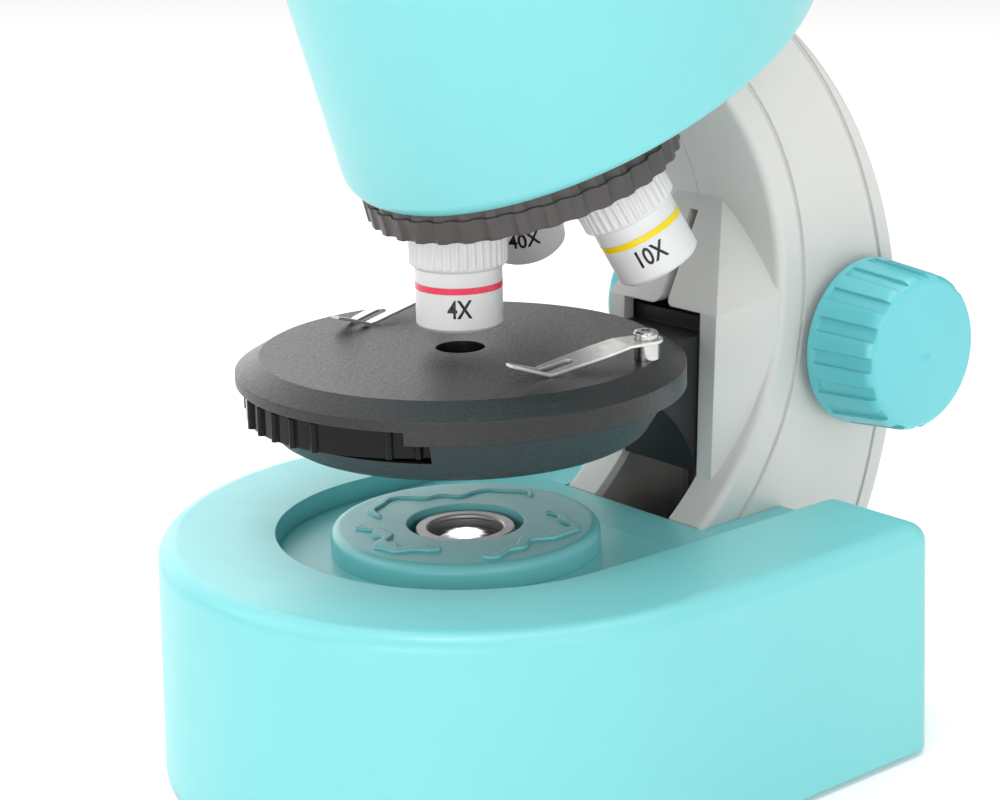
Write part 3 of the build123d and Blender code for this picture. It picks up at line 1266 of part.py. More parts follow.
def make_head_shell():
    """Flared housing, cut obliquely below, with openings for the turret and the arm."""
    with BuildPart(mode=Mode.PRIVATE) as inside:
        add(head_cone(110, HEAD_TOP - HEAD_WALL, HEAD_WALL, 8))
        with BuildSketch(CUT.offset(HEAD_WALL)):
            Circle(200)
        extrude(amount=-200, mode=Mode.SUBTRACT)
    with BuildPart() as shell:
        add(head_cone(110, HEAD_TOP, 0, 10))
        with BuildSketch(CUT):
            Circle(200)
        extrude(amount=-200, mode=Mode.SUBTRACT)
        lower = shell.faces().sort_by(Axis(CUT.origin, CUT.z_dir))[0]
        fillet(lower.edges(), 2.4)
        add(inside.part, mode=Mode.SUBTRACT)
        # opening for the turret
        with BuildSketch(TURRET.offset(-8)):
            Circle(TURRET_RADIUS - 0.2)
        extrude(amount=20.6, mode=Mode.SUBTRACT)
        with BuildSketch(TURRET.offset(12)):
            Circle(34.2)
        extrude(amount=10.6, mode=Mode.SUBTRACT)
        # opening for the arm
        with BuildSketch(SIDE.offset(-ARM_HALF - 0.3)):
            with Locations((ARM_OUT[0], ARM_OUT[1])):
                Circle(ARM_OUT[2] + 0.35)
            with Locations((ARM_IN[0], ARM_IN[1])):
                Circle(ARM_IN[2] - 0.35, mode=Mode.SUBTRACT)
            with Locations((40, 65)):
                Rectangle(400, 150, mode=Mode.SUBTRACT)
            with Locations((-80, 150)):
                Rectangle(200, 300, mode=Mode.SUBTRACT)
        extrude(amount=2 * ARM_HALF + 0.6, mode=Mode.SUBTRACT)
        # seat of the eyepiece elbow
        with BuildSketch(Plane.XY.offset(HEAD_TOP - 10)):
            Circle(15.0)
        extrude(amount=20, mode=Mode.SUBTRACT)
        with BuildSketch(Plane.XY.offset(HEAD_TOP - HEAD_WALL - 0.5)):
            with PolarLocations(18.2, 3, start_angle=90):
                Circle(1.3)
        extrude(amount=4.0, mode=Mode.SUBTRACT)
    save("head_shell", shell.part)


def make_head_frame():
    """Inner frame: tilted turret seat, light tube and the tongue clamped between the arm shells."""
    with BuildPart() as frame:
        with BuildSketch(TURRET.offset(12.3)):
            Circle(32.5)
        extrude(amount=4)
        with BuildSketch(Plane.XY.offset(142)):
            Circle(13.6)
        extrude(amount=HEAD_TOP - HEAD_WALL - 142)
        with BuildSketch(TURRET.offset(12.3)):
            Circle(60)
        extrude(amount=-30, mode=Mode.SUBTRACT)
        # top flange under the head
        with BuildSketch(Plane.XY.offset(HEAD_TOP - HEAD_WALL - 3)):
            Circle(21)
        extrude(amount=3)
        # ribs that stiffen the turret seat
        for x in (-9, 9):
            with BuildSketch(SIDE.offset(x - 1.2)):
                Polygon((8, 150.5), (30, 157.2), (34, 158.6), (12, 168.5), (8, 168.5), align=None)
            extrude(amount=2.4)
        # tongue inside the arm
        with BuildSketch(Plane.XY.offset(173.2)):
            with Locations((0, 23)):
                Rectangle(2 * (ARM_HALF - ARM_WALL - 0.1), 28)
        extrude(amount=3.8)
        for side in (-1, 1):
            start = side * (ARM_HALF - ARM_WALL - 0.1)
            with BuildSketch(Plane(origin=(start, 0, 0), x_dir=(0, 1, 0), z_dir=(1, 0, 0))):
                with Locations(*FRAME_SCREWS):
                    Circle(1.42)
            extrude(amount=-side * 9, mode=Mode.SUBTRACT)
        with BuildSketch(Plane.XY.offset(120)):
            Circle(9)
        extrude(amount=100, mode=Mode.SUBTRACT)
        with BuildSketch(TURRET.offset(10)):
            Circle(2.42)
        extrude(amount=7, mode=Mode.SUBTRACT)
        # room for the elbow spigot and its retaining ring
        with BuildSketch(Plane.XY.offset(HEAD_TOP - HEAD_WALL - 9)):
            Circle(12.4)
        extrude(amount=20, mode=Mode.SUBTRACT)
        with BuildSketch(Plane.XY.offset(HEAD_TOP - HEAD_WALL - 8)):
            with PolarLocations(18.2, 3, start_angle=90):
                Circle(1.02)
        extrude(amount=20, mode=Mode.SUBTRACT)
    save("head_frame", frame.part)


def make_head_collar():
    """Fixed ring on top of the head, in which the elbow turns, and its three screws."""
    with BuildPart() as collar:
        with BuildSketch(Plane.XY.offset(HEAD_TOP)):
            Circle(21.5)
        extrude(amount=COLLAR_TOP - HEAD_TOP)
        chamfer(collar.faces().sort_by(Axis.Z)[-1].edges(), 0.8)
        with BuildSketch(Plane.XY.offset(HEAD_TOP - 10)):
            Circle(11.4 + RUNNING)
        extrude(amount=20, mode=Mode.SUBTRACT)
        with BuildSketch(Plane.XY.offset(HEAD_TOP)):
            with PolarLocations(18.2, 3, start_angle=90):
                Circle(1.3)
        extrude(amount=10, mode=Mode.SUBTRACT)
        with BuildSketch(Plane.XY.offset(COLLAR_TOP - 2.2)):
            with PolarLocations(18.2, 3, start_angle=90):
                Circle(2.2)
        extrude(amount=5, mode=Mode.SUBTRACT)
    save("head_collar", collar.part)
    with BuildPart() as screws:
        for i in range(3):
            angle = radians(90 + 120 * i)
            plane = Plane(
                origin=(18.2 * cos(angle), 18.2 * sin(angle), COLLAR_TOP - 2.2),
                x_dir=(1, 0, 0),
                z_dir=(0, 0, -1),
            )
            add(pan_screw(plane, 1.0, 9.5, 2.0, 1.2))
    save("head_screws", screws.part)


def make_elbow():
    """Turning elbow: short upright neck, ball and the inclined socket of the eyepiece tube."""
    with BuildPart() as elbow:
        with BuildSketch(Plane.XY.offset(COLLAR_TOP + 0.3)):
            Circle(20.5)
        extrude(amount=3.2)
        chamfer(elbow.faces().sort_by(Axis.Z)[-1].edges(), 0.8)
        with BuildSketch(Plane.XY.offset(COLLAR_TOP + 0.3)):
            Circle(18.2)
        extrude(amount=ELBOW_Z - COLLAR_TOP - 0.3)
        with Locations((0, 0, ELBOW_Z)):
            Sphere(18.2)
        with BuildSketch(TUBE):
            Circle(18.2)
        extrude(amount=14)
        with BuildSketch(TUBE.offset(14)):
            Circle(18.2)
        extrude(amount=8, taper=14)
        # neck that turns in the collar
        with BuildSketch(Plane.XY.offset(HEAD_TOP - 7)):
            Circle(11.4)
        extrude(amount=COLLAR_TOP - HEAD_TOP + 8)
        # light path and prism chamber
        with BuildSketch(Plane.XY.offset(HEAD_TOP - 8)):
            Circle(9.2)
        extrude(amount=ELBOW_Z - HEAD_TOP + 4)
        with BuildSketch(Plane.XY.offset(HEAD_TOP - 8)):
            Circle(9.2)
        extrude(amount=ELBOW_Z - HEAD_TOP + 4, mode=Mode.SUBTRACT)
        with Locations((0, 0, ELBOW_Z)):
            Sphere(15.8, mode=Mode.SUBTRACT)
        # groove for the retaining ring
        with BuildSketch(Plane.XY.offset(HEAD_TOP - 6.4)):
            Circle(12.5)
            Circle(10.6, mode=Mode.SUBTRACT)
        extrude(amount=1.2, mode=Mode.SUBTRACT)
        with BuildSketch(TUBE.offset(10)):
            Circle(13.4)
        extrude(amount=20, mode=Mode.SUBTRACT)
    save("elbow_housing", elbow.part)
    with BuildPart() as ring:
        with BuildSketch(Plane.XY.offset(HEAD_TOP - 6.35)):
            Circle(12.1)
            Circle(10.65, mode=Mode.SUBTRACT)
        extrude(amount=1.1)
    save("elbow_ring", ring.part)


def make_tube():
    """Eyepiece tube, the prism behind it and the eyepiece that lifts out."""
    with BuildPart() as tube:
        with BuildSketch(TUBE.offset(16)):
            Circle(13.38)
            Circle(TUBE_BORE, mode=Mode.SUBTRACT)
        extrude(amount=TUBE_LENGTH - 16)
        with BuildSketch(TUBE.offset(TUBE_LENGTH - 5)):
            Circle(14.6)
            Circle(TUBE_BORE, mode=Mode.SUBTRACT)
        extrude(amount=5)
        chamfer(tube.edges().filter_by(GeomType.CIRCLE).sort_by(Axis(TUBE.origin, TUBE.z_dir))[-1], 0.5)
    save("eyepiece_tube", tube.part)
    # prism: block whose lower face looks down and whose front face looks along the tube
    with BuildPart() as prism:
        with BuildSketch(SIDE.offset(-9)):
            Polygon((-8, ELBOW_Z - 9), (8, ELBOW_Z - 9), (8.4, ELBOW_Z + 2), (3.2, ELBOW_Z + 9.5),
                    (-10.5, ELBOW_Z - 4.2), align=None)
        extrude(amount=18)
    save("elbow_prism", prism.part)
    with BuildPart() as body:
        with BuildSketch(TUBE.offset(TUBE_LENGTH - 28)):
            Circle(11.6)
        extrude(amount=28)
        with BuildSketch(TUBE.offset(TUBE_LENGTH + 0.05)):
            Circle(14.4)
        extrude(amount=15)
        chamfer(body.edges().filter_by(GeomType.CIRCLE).sort_by(Axis(TUBE.origin, TUBE.z_dir))[-1], 1.2)
        with BuildSketch(TUBE.offset(TUBE_LENGTH - 30)):
            Circle(9.6)
        extrude(amount=40, mode=Mode.SUBTRACT)
        with BuildSketch(TUBE.offset(TUBE_LENGTH + 5)):
            Circle(7.6)
        extrude(amount=20, mode=Mode.SUBTRACT)
        with BuildSketch(TUBE.offset(TUBE_LENGTH + 12.4)):
            Circle(9.0)
        extrude(amount=10, mode=Mode.SUBTRACT)
    save("eyepiece_body", body.part)
    with BuildPart() as eye_lens:
        with BuildSketch(TUBE.offset(TUBE_LENGTH + 12.4)):
            Circle(8.98)
        extrude(amount=1.6)
    save("eyepiece_eye_lens", eye_lens.part)
    with BuildPart() as field_lens:
        with BuildSketch(TUBE.offset(TUBE_LENGTH - 27)):
            Circle(9.58)
        extrude(amount=2.0)
    save("eyepiece_field_lens", field_lens.part)
    with BuildPart() as cup:
        with BuildSketch(TUBE.offset(TUBE_LENGTH + 7)):
            Circle(16.2)
            Circle(14.42, mode=Mode.SUBTRACT)
        extrude(amount=8.2)
        with BuildSketch(TUBE.offset(TUBE_LENGTH + 15.2)):
            Circle(16.2)
            Circle(10.5, mode=Mode.SUBTRACT)
        extrude(amount=2.2)
        chamfer(cup.faces().sort_by(Axis(TUBE.origin, TUBE.z_dir))[-1].edges(), 0.8)
    save("eyecup", cup.part)


if __name__ == "__main__":
    make_base_shell()
    make_base_bottom()
    make_feet()
    make_battery_cover()
    make_cells()
    make_contacts()
    make_switch()
    make_base_screws()
    make_pedestal()
    make_lamp()
    make_arm()
    make_guides()
    make_drive()
    make_knobs()
    make_stage_plate()
    make_stage_body()
    make_wheel()
    make_bracket()
    make_clips()
    make_turret()
    make_objectives()
    make_head_shell()
    make_head_frame()
    make_head_collar()
    make_elbow()
    make_tube()
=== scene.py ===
import math

import bmesh
import bpy
from mathutils import Matrix, Vector


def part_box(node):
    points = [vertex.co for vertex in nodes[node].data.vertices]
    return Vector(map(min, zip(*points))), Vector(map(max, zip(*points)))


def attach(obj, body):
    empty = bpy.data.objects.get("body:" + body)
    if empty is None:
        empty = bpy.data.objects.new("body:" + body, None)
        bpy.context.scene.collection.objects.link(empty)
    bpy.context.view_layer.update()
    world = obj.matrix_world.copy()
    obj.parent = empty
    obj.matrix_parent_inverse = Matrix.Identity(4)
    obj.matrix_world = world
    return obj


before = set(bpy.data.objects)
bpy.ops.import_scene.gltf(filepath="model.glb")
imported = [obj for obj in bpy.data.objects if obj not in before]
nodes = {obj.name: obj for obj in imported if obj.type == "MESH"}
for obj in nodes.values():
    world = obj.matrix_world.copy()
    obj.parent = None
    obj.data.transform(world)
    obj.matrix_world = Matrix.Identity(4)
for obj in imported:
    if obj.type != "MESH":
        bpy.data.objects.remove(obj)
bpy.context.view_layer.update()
MM = 0.001

# printed powers
BARREL_RADIUS = 9.65 * MM
INK_LAYER = 0.06 * MM
INK_SUNK = 0.03 * MM  # how far the layer starts inside the barrel
NUMERAL_HEIGHT = 4.0 * MM
NUMERAL_GAP = 1.9 * MM  # from the middle of the colour ring to the top of the numerals
NUMERAL_NARROWING = 0.78
BEND_STEPS = 24

# camera: place relative to the lamp, height above the table, angles in degrees
CAMERA_X = 0.3961
CAMERA_Y = -0.3143
CAMERA_Z = 0.2240
CAMERA_HEADING = 50.61
CAMERA_PITCH = 15.51
CAMERA_ROLL = -1.28
CAMERA_LENS = 84.72
SENSOR_WIDTH = 36


# ---------------------------------------------------------------- node helpers
def node(tree, kind, settings=None, **sockets):
    """Add a shader node; socket names are written with _ for a space, values may be sockets."""
    made = tree.nodes.new(kind)
    for key, value in (settings or {}).items():
        setattr(made, key, value)
    for key, value in sockets.items():
        socket = made.inputs[key.replace("_", " ")]
        if isinstance(value, bpy.types.NodeSocket):
            tree.links.new(value, socket)
        else:
            socket.default_value = value
    return made


def start(name):
    """A new material with a cleared node tree; gives the tree and the object coordinates."""
    material = bpy.data.materials.new(name)
    material.use_nodes = True
    tree = material.node_tree
    tree.nodes.clear()
    place = node(tree, "ShaderNodeTexCoord").outputs["Object"]
    return material, tree, place


def noise(tree, place, scale, detail=2.0, rough=0.5, distortion=0.0):
    """Noise whose features are about 1/scale metres wide."""
    made = node(tree, "ShaderNodeTexNoise", Vector=place, Scale=scale, Detail=detail,
                Roughness=rough, Distortion=distortion)
    return made.outputs["Fac"]


def spread(tree, value, low, high, from_low=0.3, from_high=0.7):
    """Remap a noise value to a range."""
    made = node(tree, "ShaderNodeMapRange", Value=value)
    made.inputs["From Min"].default_value = from_low
    made.inputs["From Max"].default_value = from_high
    made.inputs["To Min"].default_value = low
    made.inputs["To Max"].default_value = high
    return made.outputs["Result"]


def blend_colour(tree, amount, one, two):
    """Mix two colours, each a tuple or a socket."""
    made = node(tree, "ShaderNodeMix", {"data_type": "RGBA"})
    for socket, value in zip((made.inputs[0], made.inputs[6], made.inputs[7]), (amount, one, two)):
        if isinstance(value, bpy.types.NodeSocket):
            tree.links.new(value, socket)
        elif isinstance(value, (tuple, list)):
            socket.default_value = (*value[:3], 1)
        else:
            socket.default_value = value
    return made.outputs[2]


def multiply(tree, one, two):
    """Product of two values."""
    made = node(tree, "ShaderNodeMath", {"operation": "MULTIPLY"})
    for socket, value in zip(made.inputs, (one, two)):
        if isinstance(value, bpy.types.NodeSocket):
            tree.links.new(value, socket)
        else:
            socket.default_value = value
    return made.outputs[0]


def soft_edges(tree, radius):
    """Rounded edge normal, and a mask that is 1 on the edges."""
    rounded = node(tree, "ShaderNodeBevel", {"samples": 6}, Radius=radius).outputs["Normal"]
    plain = node(tree, "ShaderNodeNewGeometry").outputs["Normal"]
    alike = node(tree, "ShaderNodeVectorMath", {"operation": "DOT_PRODUCT"})
    tree.links.new(rounded, alike.inputs[0])
    tree.links.new(plain, alike.inputs[1])
    return rounded, spread(tree, alike.outputs["Value"], 1.0, 0.0, 0.75, 0.99)


def bump(tree, height, distance, strength, normal):
    """Bump on top of a normal."""
    made = node(tree, "ShaderNodeBump", Height=height, Distance=distance, Strength=strength,
                Normal=normal)
    return made.outputs["Normal"]


def finish_material(tree, **sockets):
    """Principled shader with the given sockets, joined to the output."""
    shader = node(tree, "ShaderNodeBsdfPrincipled", **sockets)
    output = node(tree, "ShaderNodeOutputMaterial")
    tree.links.new(shader.outputs["BSDF"], output.inputs["Surface"])
    return shader


# ---------------------------------------------------------------- materials
# Each material's roughness stays wholly above or wholly below 0.274. The noise filter treats the two
# sides differently, so a surface that crosses it shows contour lines.
def moulded(name, colour, shade, edge, roughness, grain, depth, wear=0.15, radius=0.45 * MM,
            gloss=0.5):
    """Moulded plastic: slow tint drift, pebbled skin, uneven gloss, paler edges."""
    material, tree, place = start(name)
    drift = noise(tree, place, 22, 3)
    handled = noise(tree, place, 90, 4, 0.6)
    skin = noise(tree, place, grain, 3, 0.6)
    waves = noise(tree, place, 45, 1)
    rounded, rim = soft_edges(tree, radius)
    base = blend_colour(tree, spread(tree, drift, 0, 1), colour, shade)
    worn = multiply(tree, rim, spread(tree, handled, 0.1 * wear, wear))
    base = blend_colour(tree, worn, base, edge)
    normal = bump(tree, waves, 0.12 * MM, 0.06, rounded)
    normal = bump(tree, skin, depth, 0.4, normal)
    finish_material(
        tree,
        Specular_IOR_Level=gloss,
        Base_Color=base,
        Roughness=spread(tree, handled, roughness - 0.03, roughness + 0.05),
        Normal=normal,
        IOR=1.5,
    )
    return material


def crinkle(name, colour, shade, roughness, grain, depth):
    """Crinkle lacquer: fine wrinkles with a lighter worn crest."""
    material, tree, place = start(name)
    wrinkle = noise(tree, place, grain, 4, 0.65, 0.6)
    coarse = noise(tree, place, grain * 0.35, 2, 0.5, 0.3)
    drift = noise(tree, place, 30, 3)
    rounded, rim = soft_edges(tree, 0.35 * MM)
    base = blend_colour(tree, spread(tree, wrinkle, 0, 1, 0.45, 0.68), colour, shade)
    base = blend_colour(tree, multiply(tree, rim, spread(tree, drift, 0.05, 0.4)), base,
                        (0.10, 0.10, 0.105))
    normal = bump(tree, coarse, depth * 1.5, 0.45, rounded)
    normal = bump(tree, wrinkle, depth, 0.9, normal)
    finish_material(
        tree,
        Base_Color=base,
        Roughness=spread(tree, wrinkle, roughness + 0.08, roughness - 0.06),
        Normal=normal,
        IOR=1.5,
    )
    return material


def brushed(name, colour, shade, roughness, stretch, metallic=1.0):
    """Brushed or turned metal: streaks along one direction and small pits."""
    material, tree, place = start(name)
    along = node(tree, "ShaderNodeMapping", Vector=place, Scale=stretch).outputs["Vector"]
    streak = noise(tree, along, 900, 4, 0.7)
    pits = noise(tree, place, 1600, 2, 0.5)
    stain = noise(tree, place, 120, 4, 0.6)
    rounded, rim = soft_edges(tree, 0.15 * MM)
    base = blend_colour(tree, spread(tree, stain, 0, 1), colour, shade)
    base = blend_colour(tree, multiply(tree, rim, 0.5), base, tuple(min(1, c * 1.25) for c in colour))
    normal = bump(tree, streak, 0.008 * MM, 0.15, rounded)
    normal = bump(tree, pits, 0.004 * MM, 0.1, normal)
    finish_material(
        tree,
        Base_Color=base,
        Metallic=metallic,
        Roughness=spread(tree, streak, roughness - 0.06, roughness + 0.12),
        Normal=normal,
    )
    return material


def print_ink(name, colour, shade, roughness):
    """Printed or painted band: even colour with tiny thin spots."""
    material, tree, place = start(name)
    thin = noise(tree, place, 1100, 2, 0.5)
    drift = noise(tree, place, 260, 3)
    base = blend_colour(tree, spread(tree, thin, 0, 0.5, 0.55, 0.8), colour, shade)
    normal = node(tree, "ShaderNodeBump", Height=drift, Distance=0.02 * MM, Strength=0.3)
    finish_material(
        tree,
        Base_Color=base,
        Roughness=spread(tree, drift, roughness - 0.05, roughness + 0.07),
        Normal=normal.outputs["Normal"],
    )
    return material


def rubber(name, colour, dust):
    """Soft rubber with dust in its pores."""
    material, tree, place = start(name)
    pores = noise(tree, place, 2200, 3, 0.7)
    dusty = noise(tree, place, 240, 5, 0.6)
    rounded, rim = soft_edges(tree, 0.3 * MM)
    base = blend_colour(tree, spread(tree, dusty, 0, 0.35), colour, dust)
    base = blend_colour(tree, multiply(tree, rim, 0.25), base, dust)
    finish_material(
        tree,
        Base_Color=base,
        Roughness=spread(tree, dusty, 0.62, 0.8),
        Normal=bump(tree, pores, 0.05 * MM, 0.5, rounded),
    )
    return material


def coated_glass(name, tint):
    """Polished lens: clear, with a faint coating tint and a few dust specks."""
    material, tree, place = start(name)
    dust = noise(tree, place, 1400, 3, 0.8)
    finish_material(
        tree,
        Base_Color=(*tint, 1),
        Transmission_Weight=1.0,
        IOR=1.5,
        Roughness=spread(tree, dust, 0.02, 0.14, 0.62, 0.8),
    )
    return material


def lit_lens(name, centre, core, skirt):
    """Lamp lens in use: clear resin with a bright core over the diode and spokes of light."""
    material, tree, place = start(name)
    offset = node(tree, "ShaderNodeVectorMath", {"operation": "SUBTRACT"})
    tree.links.new(place, offset.inputs[0])
    offset.inputs[1].default_value = centre
    parts = node(tree, "ShaderNodeSeparateXYZ", Vector=offset.outputs["Vector"])
    flat = node(tree, "ShaderNodeCombineXYZ")
    tree.links.new(parts.outputs["X"], flat.inputs["X"])
    tree.links.new(parts.outputs["Y"], flat.inputs["Y"])
    length = node(tree, "ShaderNodeVectorMath", {"operation": "LENGTH"})
    tree.links.new(flat.outputs["Vector"], length.inputs[0])
    angle = node(tree, "ShaderNodeMath", {"operation": "ARCTAN2"})
    tree.links.new(parts.outputs["Y"], angle.inputs[0])
    tree.links.new(parts.outputs["X"], angle.inputs[1])
    spoke = node(tree, "ShaderNodeMath", {"operation": "SINE"})
    tree.links.new(multiply(tree, angle.outputs[0], 11), spoke.inputs[0])
    ragged = noise(tree, place, 700, 3, 0.7)
    reach = node(tree, "ShaderNodeMapRange", {"interpolation_type": "SMOOTHSTEP"})
    tree.links.new(length.outputs["Value"], reach.inputs["Value"])
    for socket, value in (("From Min", core), ("From Max", skirt), ("To Min", 1), ("To Max", 0)):
        reach.inputs[socket].default_value = value
    centre_glow = node(tree, "ShaderNodeMath", {"operation": "POWER"})
    tree.links.new(reach.outputs["Result"], centre_glow.inputs[0])
    centre_glow.inputs[1].default_value = 2.5
    rays = multiply(tree, spread(tree, spoke.outputs[0], 0, 1, 0.1, 1.0), spread(tree, ragged, 0.3, 1))
    rays = multiply(tree, multiply(tree, rays, reach.outputs["Result"]), 0.35)
    total = node(tree, "ShaderNodeMath", {"operation": "ADD"})
    tree.links.new(centre_glow.outputs[0], total.inputs[0])
    tree.links.new(rays, total.inputs[1])
    finish_material(
        tree,
        Base_Color=(0.06, 0.07, 0.08, 1),
        Transmission_Weight=0.35,
        IOR=1.49,
        Roughness=spread(tree, ragged, 0.03, 0.12),
        Emission_Color=(0.93, 0.97, 1.0, 1),
        Emission_Strength=multiply(tree, total.outputs[0], 7.0),
    )
    return material


def glowing(name, strength):
    """Phosphor of the light source."""
    material, tree, place = start(name)
    grain = noise(tree, place, 3000, 3, 0.6)
    finish_material(
        tree,
        Base_Color=(0.95, 0.93, 0.7, 1),
        Roughness=0.4,
        Emission_Color=(0.95, 0.98, 1.0, 1),
        Emission_Strength=multiply(tree, spread(tree, grain, 0.85, 1.15), strength),
    )
    return material


def board(name):
    """Circuit board: solder mask with traces."""
    material, tree, place = start(name)
    weave = node(tree, "ShaderNodeTexBrick", Vector=place, Scale=260.0)
    weave.inputs["Color1"].default_value = (0.03, 0.22, 0.09, 1)
    weave.inputs["Color2"].default_value = (0.025, 0.19, 0.08, 1)
    weave.inputs["Mortar"].default_value = (0.10, 0.34, 0.16, 1)
    spots = noise(tree, place, 900, 3)
    normal = node(tree, "ShaderNodeBump", Height=weave.outputs["Fac"], Distance=0.03 * MM, Strength=0.5)
    finish_material(tree, Base_Color=weave.outputs["Color"], Roughness=spread(tree, spots, 0.29, 0.42),
                    Normal=normal.outputs["Normal"])
    return material


lamp_low, lamp_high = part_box("lamp_lens")
lamp_centre = (lamp_low + lamp_high) / 2

TURQUOISE = (0.205, 0.625, 0.640)
materials = {
    "body_turquoise": moulded("body_turquoise", TURQUOISE, (0.197, 0.609, 0.626), (0.33, 0.74, 0.75),
                              0.31, 520, 0.004 * MM, wear=0.08),
    "knob_turquoise": moulded("knob_turquoise", (0.150, 0.590, 0.640), (0.142, 0.570, 0.622),
                              (0.34, 0.76, 0.80), 0.22, 520, 0.004 * MM, radius=0.7 * MM),
    "arm_grey": moulded("arm_grey", (0.660, 0.650, 0.625), (0.640, 0.628, 0.602), (0.78, 0.77, 0.75),
                        0.34, 1300, 0.012 * MM),
    "gloss_black": moulded("gloss_black", (0.008, 0.008, 0.009), (0.011, 0.011, 0.012),
                           (0.05, 0.05, 0.055), 0.17, 600, 0.004 * MM, gloss=0.14),
    "matt_black": moulded("matt_black", (0.014, 0.014, 0.015), (0.020, 0.020, 0.021),
                          (0.07, 0.07, 0.07), 0.52, 1700, 0.03 * MM),
    "stage_black": crinkle("stage_black", (0.007, 0.007, 0.008), (0.015, 0.015, 0.016), 0.34, 1300,
                           0.11 * MM),
    "stage_dark": crinkle("stage_dark", (0.030, 0.032, 0.034), (0.044, 0.046, 0.049), 0.42, 1500,
                          0.03 * MM),
    "turret_brown": moulded("turret_brown", (0.062, 0.054, 0.053), (0.076, 0.067, 0.064),
                            (0.16, 0.145, 0.14), 0.40, 1700, 0.05 * MM, wear=0.4),
    "barrel_white": moulded("barrel_white", (0.80, 0.80, 0.795), (0.775, 0.775, 0.77), (0.9, 0.9, 0.9),
                            0.31, 1300, 0.006 * MM),
    "ring_red": print_ink("ring_red", (0.90, 0.020, 0.085), (0.95, 0.12, 0.18), 0.20),
    "ring_yellow": print_ink("ring_yellow", (0.96, 0.70, 0.006), (0.97, 0.78, 0.12), 0.20),
    "ring_blue": print_ink("ring_blue", (0.025, 0.18, 0.72), (0.10, 0.27, 0.78), 0.20),
    "ink_black": print_ink("ink_black", (0.006, 0.006, 0.006), (0.03, 0.028, 0.026), 0.35),
    "clip_steel": brushed("clip_steel", (0.80, 0.79, 0.77), (0.74, 0.73, 0.715), 0.34, (0.2, 0.2, 1)),
    "turned_steel": brushed("turned_steel", (0.60, 0.60, 0.585), (0.50, 0.50, 0.49), 0.14,
                            (0.06, 0.06, 1)),
    "chrome": brushed("chrome", (0.80, 0.80, 0.81), (0.74, 0.74, 0.75), 0.10, (0.2, 0.2, 1)),
    "brass": brushed("brass", (0.80, 0.58, 0.26), (0.66, 0.47, 0.20), 0.34, (0.06, 0.06, 1)),
    "lamp_ring": brushed("lamp_ring", (0.50, 0.46, 0.45), (0.44, 0.405, 0.40), 0.34, (0.2, 0.2, 1), 0.6),
    "cell_jacket": moulded("cell_jacket", (0.12, 0.13, 0.15), (0.15, 0.16, 0.18), (0.3, 0.3, 0.32),
                           0.31, 1200, 0.01 * MM),
    "foot_rubber": rubber("foot_rubber", (0.018, 0.018, 0.018), (0.10, 0.095, 0.09)),
    "eyecup_rubber": rubber("eyecup_rubber", (0.014, 0.014, 0.015), (0.06, 0.058, 0.055)),
    "lens_glass": coated_glass("lens_glass", (0.93, 0.96, 0.98)),
    "lit_lens": lit_lens("lit_lens", lamp_centre, 1.2 * MM, 5.6 * MM),
    "diode": glowing("diode", 5.0),
    "board_green": board("board_green"),
}

WEARS = {
    "body_turquoise": ["base_shell", "base_bottom", "lamp_pedestal", "head_shell", "battery_cover",
                       "elbow_housing"],
    "knob_turquoise": ["focus_knob_left", "focus_knob_right"],
    "arm_grey": ["arm_shell_left", "arm_shell_right", "guide_blocks", "head_collar"],
    "gloss_black": ["diaphragm_wheel", "switch_slider", "elbow_ring", "eyepiece_body"],
    "matt_black": ["switch_body", "head_frame", "stage_bracket"],
    "stage_black": ["stage_plate"],
    "stage_dark": ["stage_body"],
    "turret_brown": ["turret"],
    "barrel_white": ["objective_4x_barrel", "objective_10x_barrel", "objective_40x_barrel"],
    "ring_red": ["objective_4x_ring"],
    "ring_yellow": ["objective_10x_ring"],
    "ring_blue": ["objective_40x_ring"],
    "clip_steel": ["clip_left", "clip_right"],
    "turned_steel": ["clip_posts", "clip_screws", "guide_rods", "focus_shaft", "base_screws",
                     "arm_screws", "head_screws", "stage_screws", "lamp_screws", "battery_contacts",
                     "battery_cover_screw", "diaphragm_pivot", "turret_pivot"],
    "chrome": ["eyepiece_tube"],
    "brass": ["focus_pinion", "focus_rack", "shaft_bushes"],
    "lamp_ring": ["lamp_bezel"],
    "cell_jacket": ["aa_cells"],
    "foot_rubber": ["rubber_feet"],
    "eyecup_rubber": ["eyecup"],
    "lens_glass": ["objective_4x_lens", "objective_10x_lens", "objective_40x_lens",
                   "eyepiece_eye_lens", "eyepiece_field_lens", "elbow_prism"],
    "lit_lens": ["lamp_lens"],
    "diode": ["lamp_diode"],
    "board_green": ["lamp_board"],
}
for look, names in WEARS.items():
    for name in names:
        slots = nodes[name].data.materials
        slots.clear()
        slots.append(materials[look])


# ---------------------------------------------------------------- printed powers on the objectives
def middle(name):
    """Centre of a node's box."""
    low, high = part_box(name)
    return (low + high) / 2


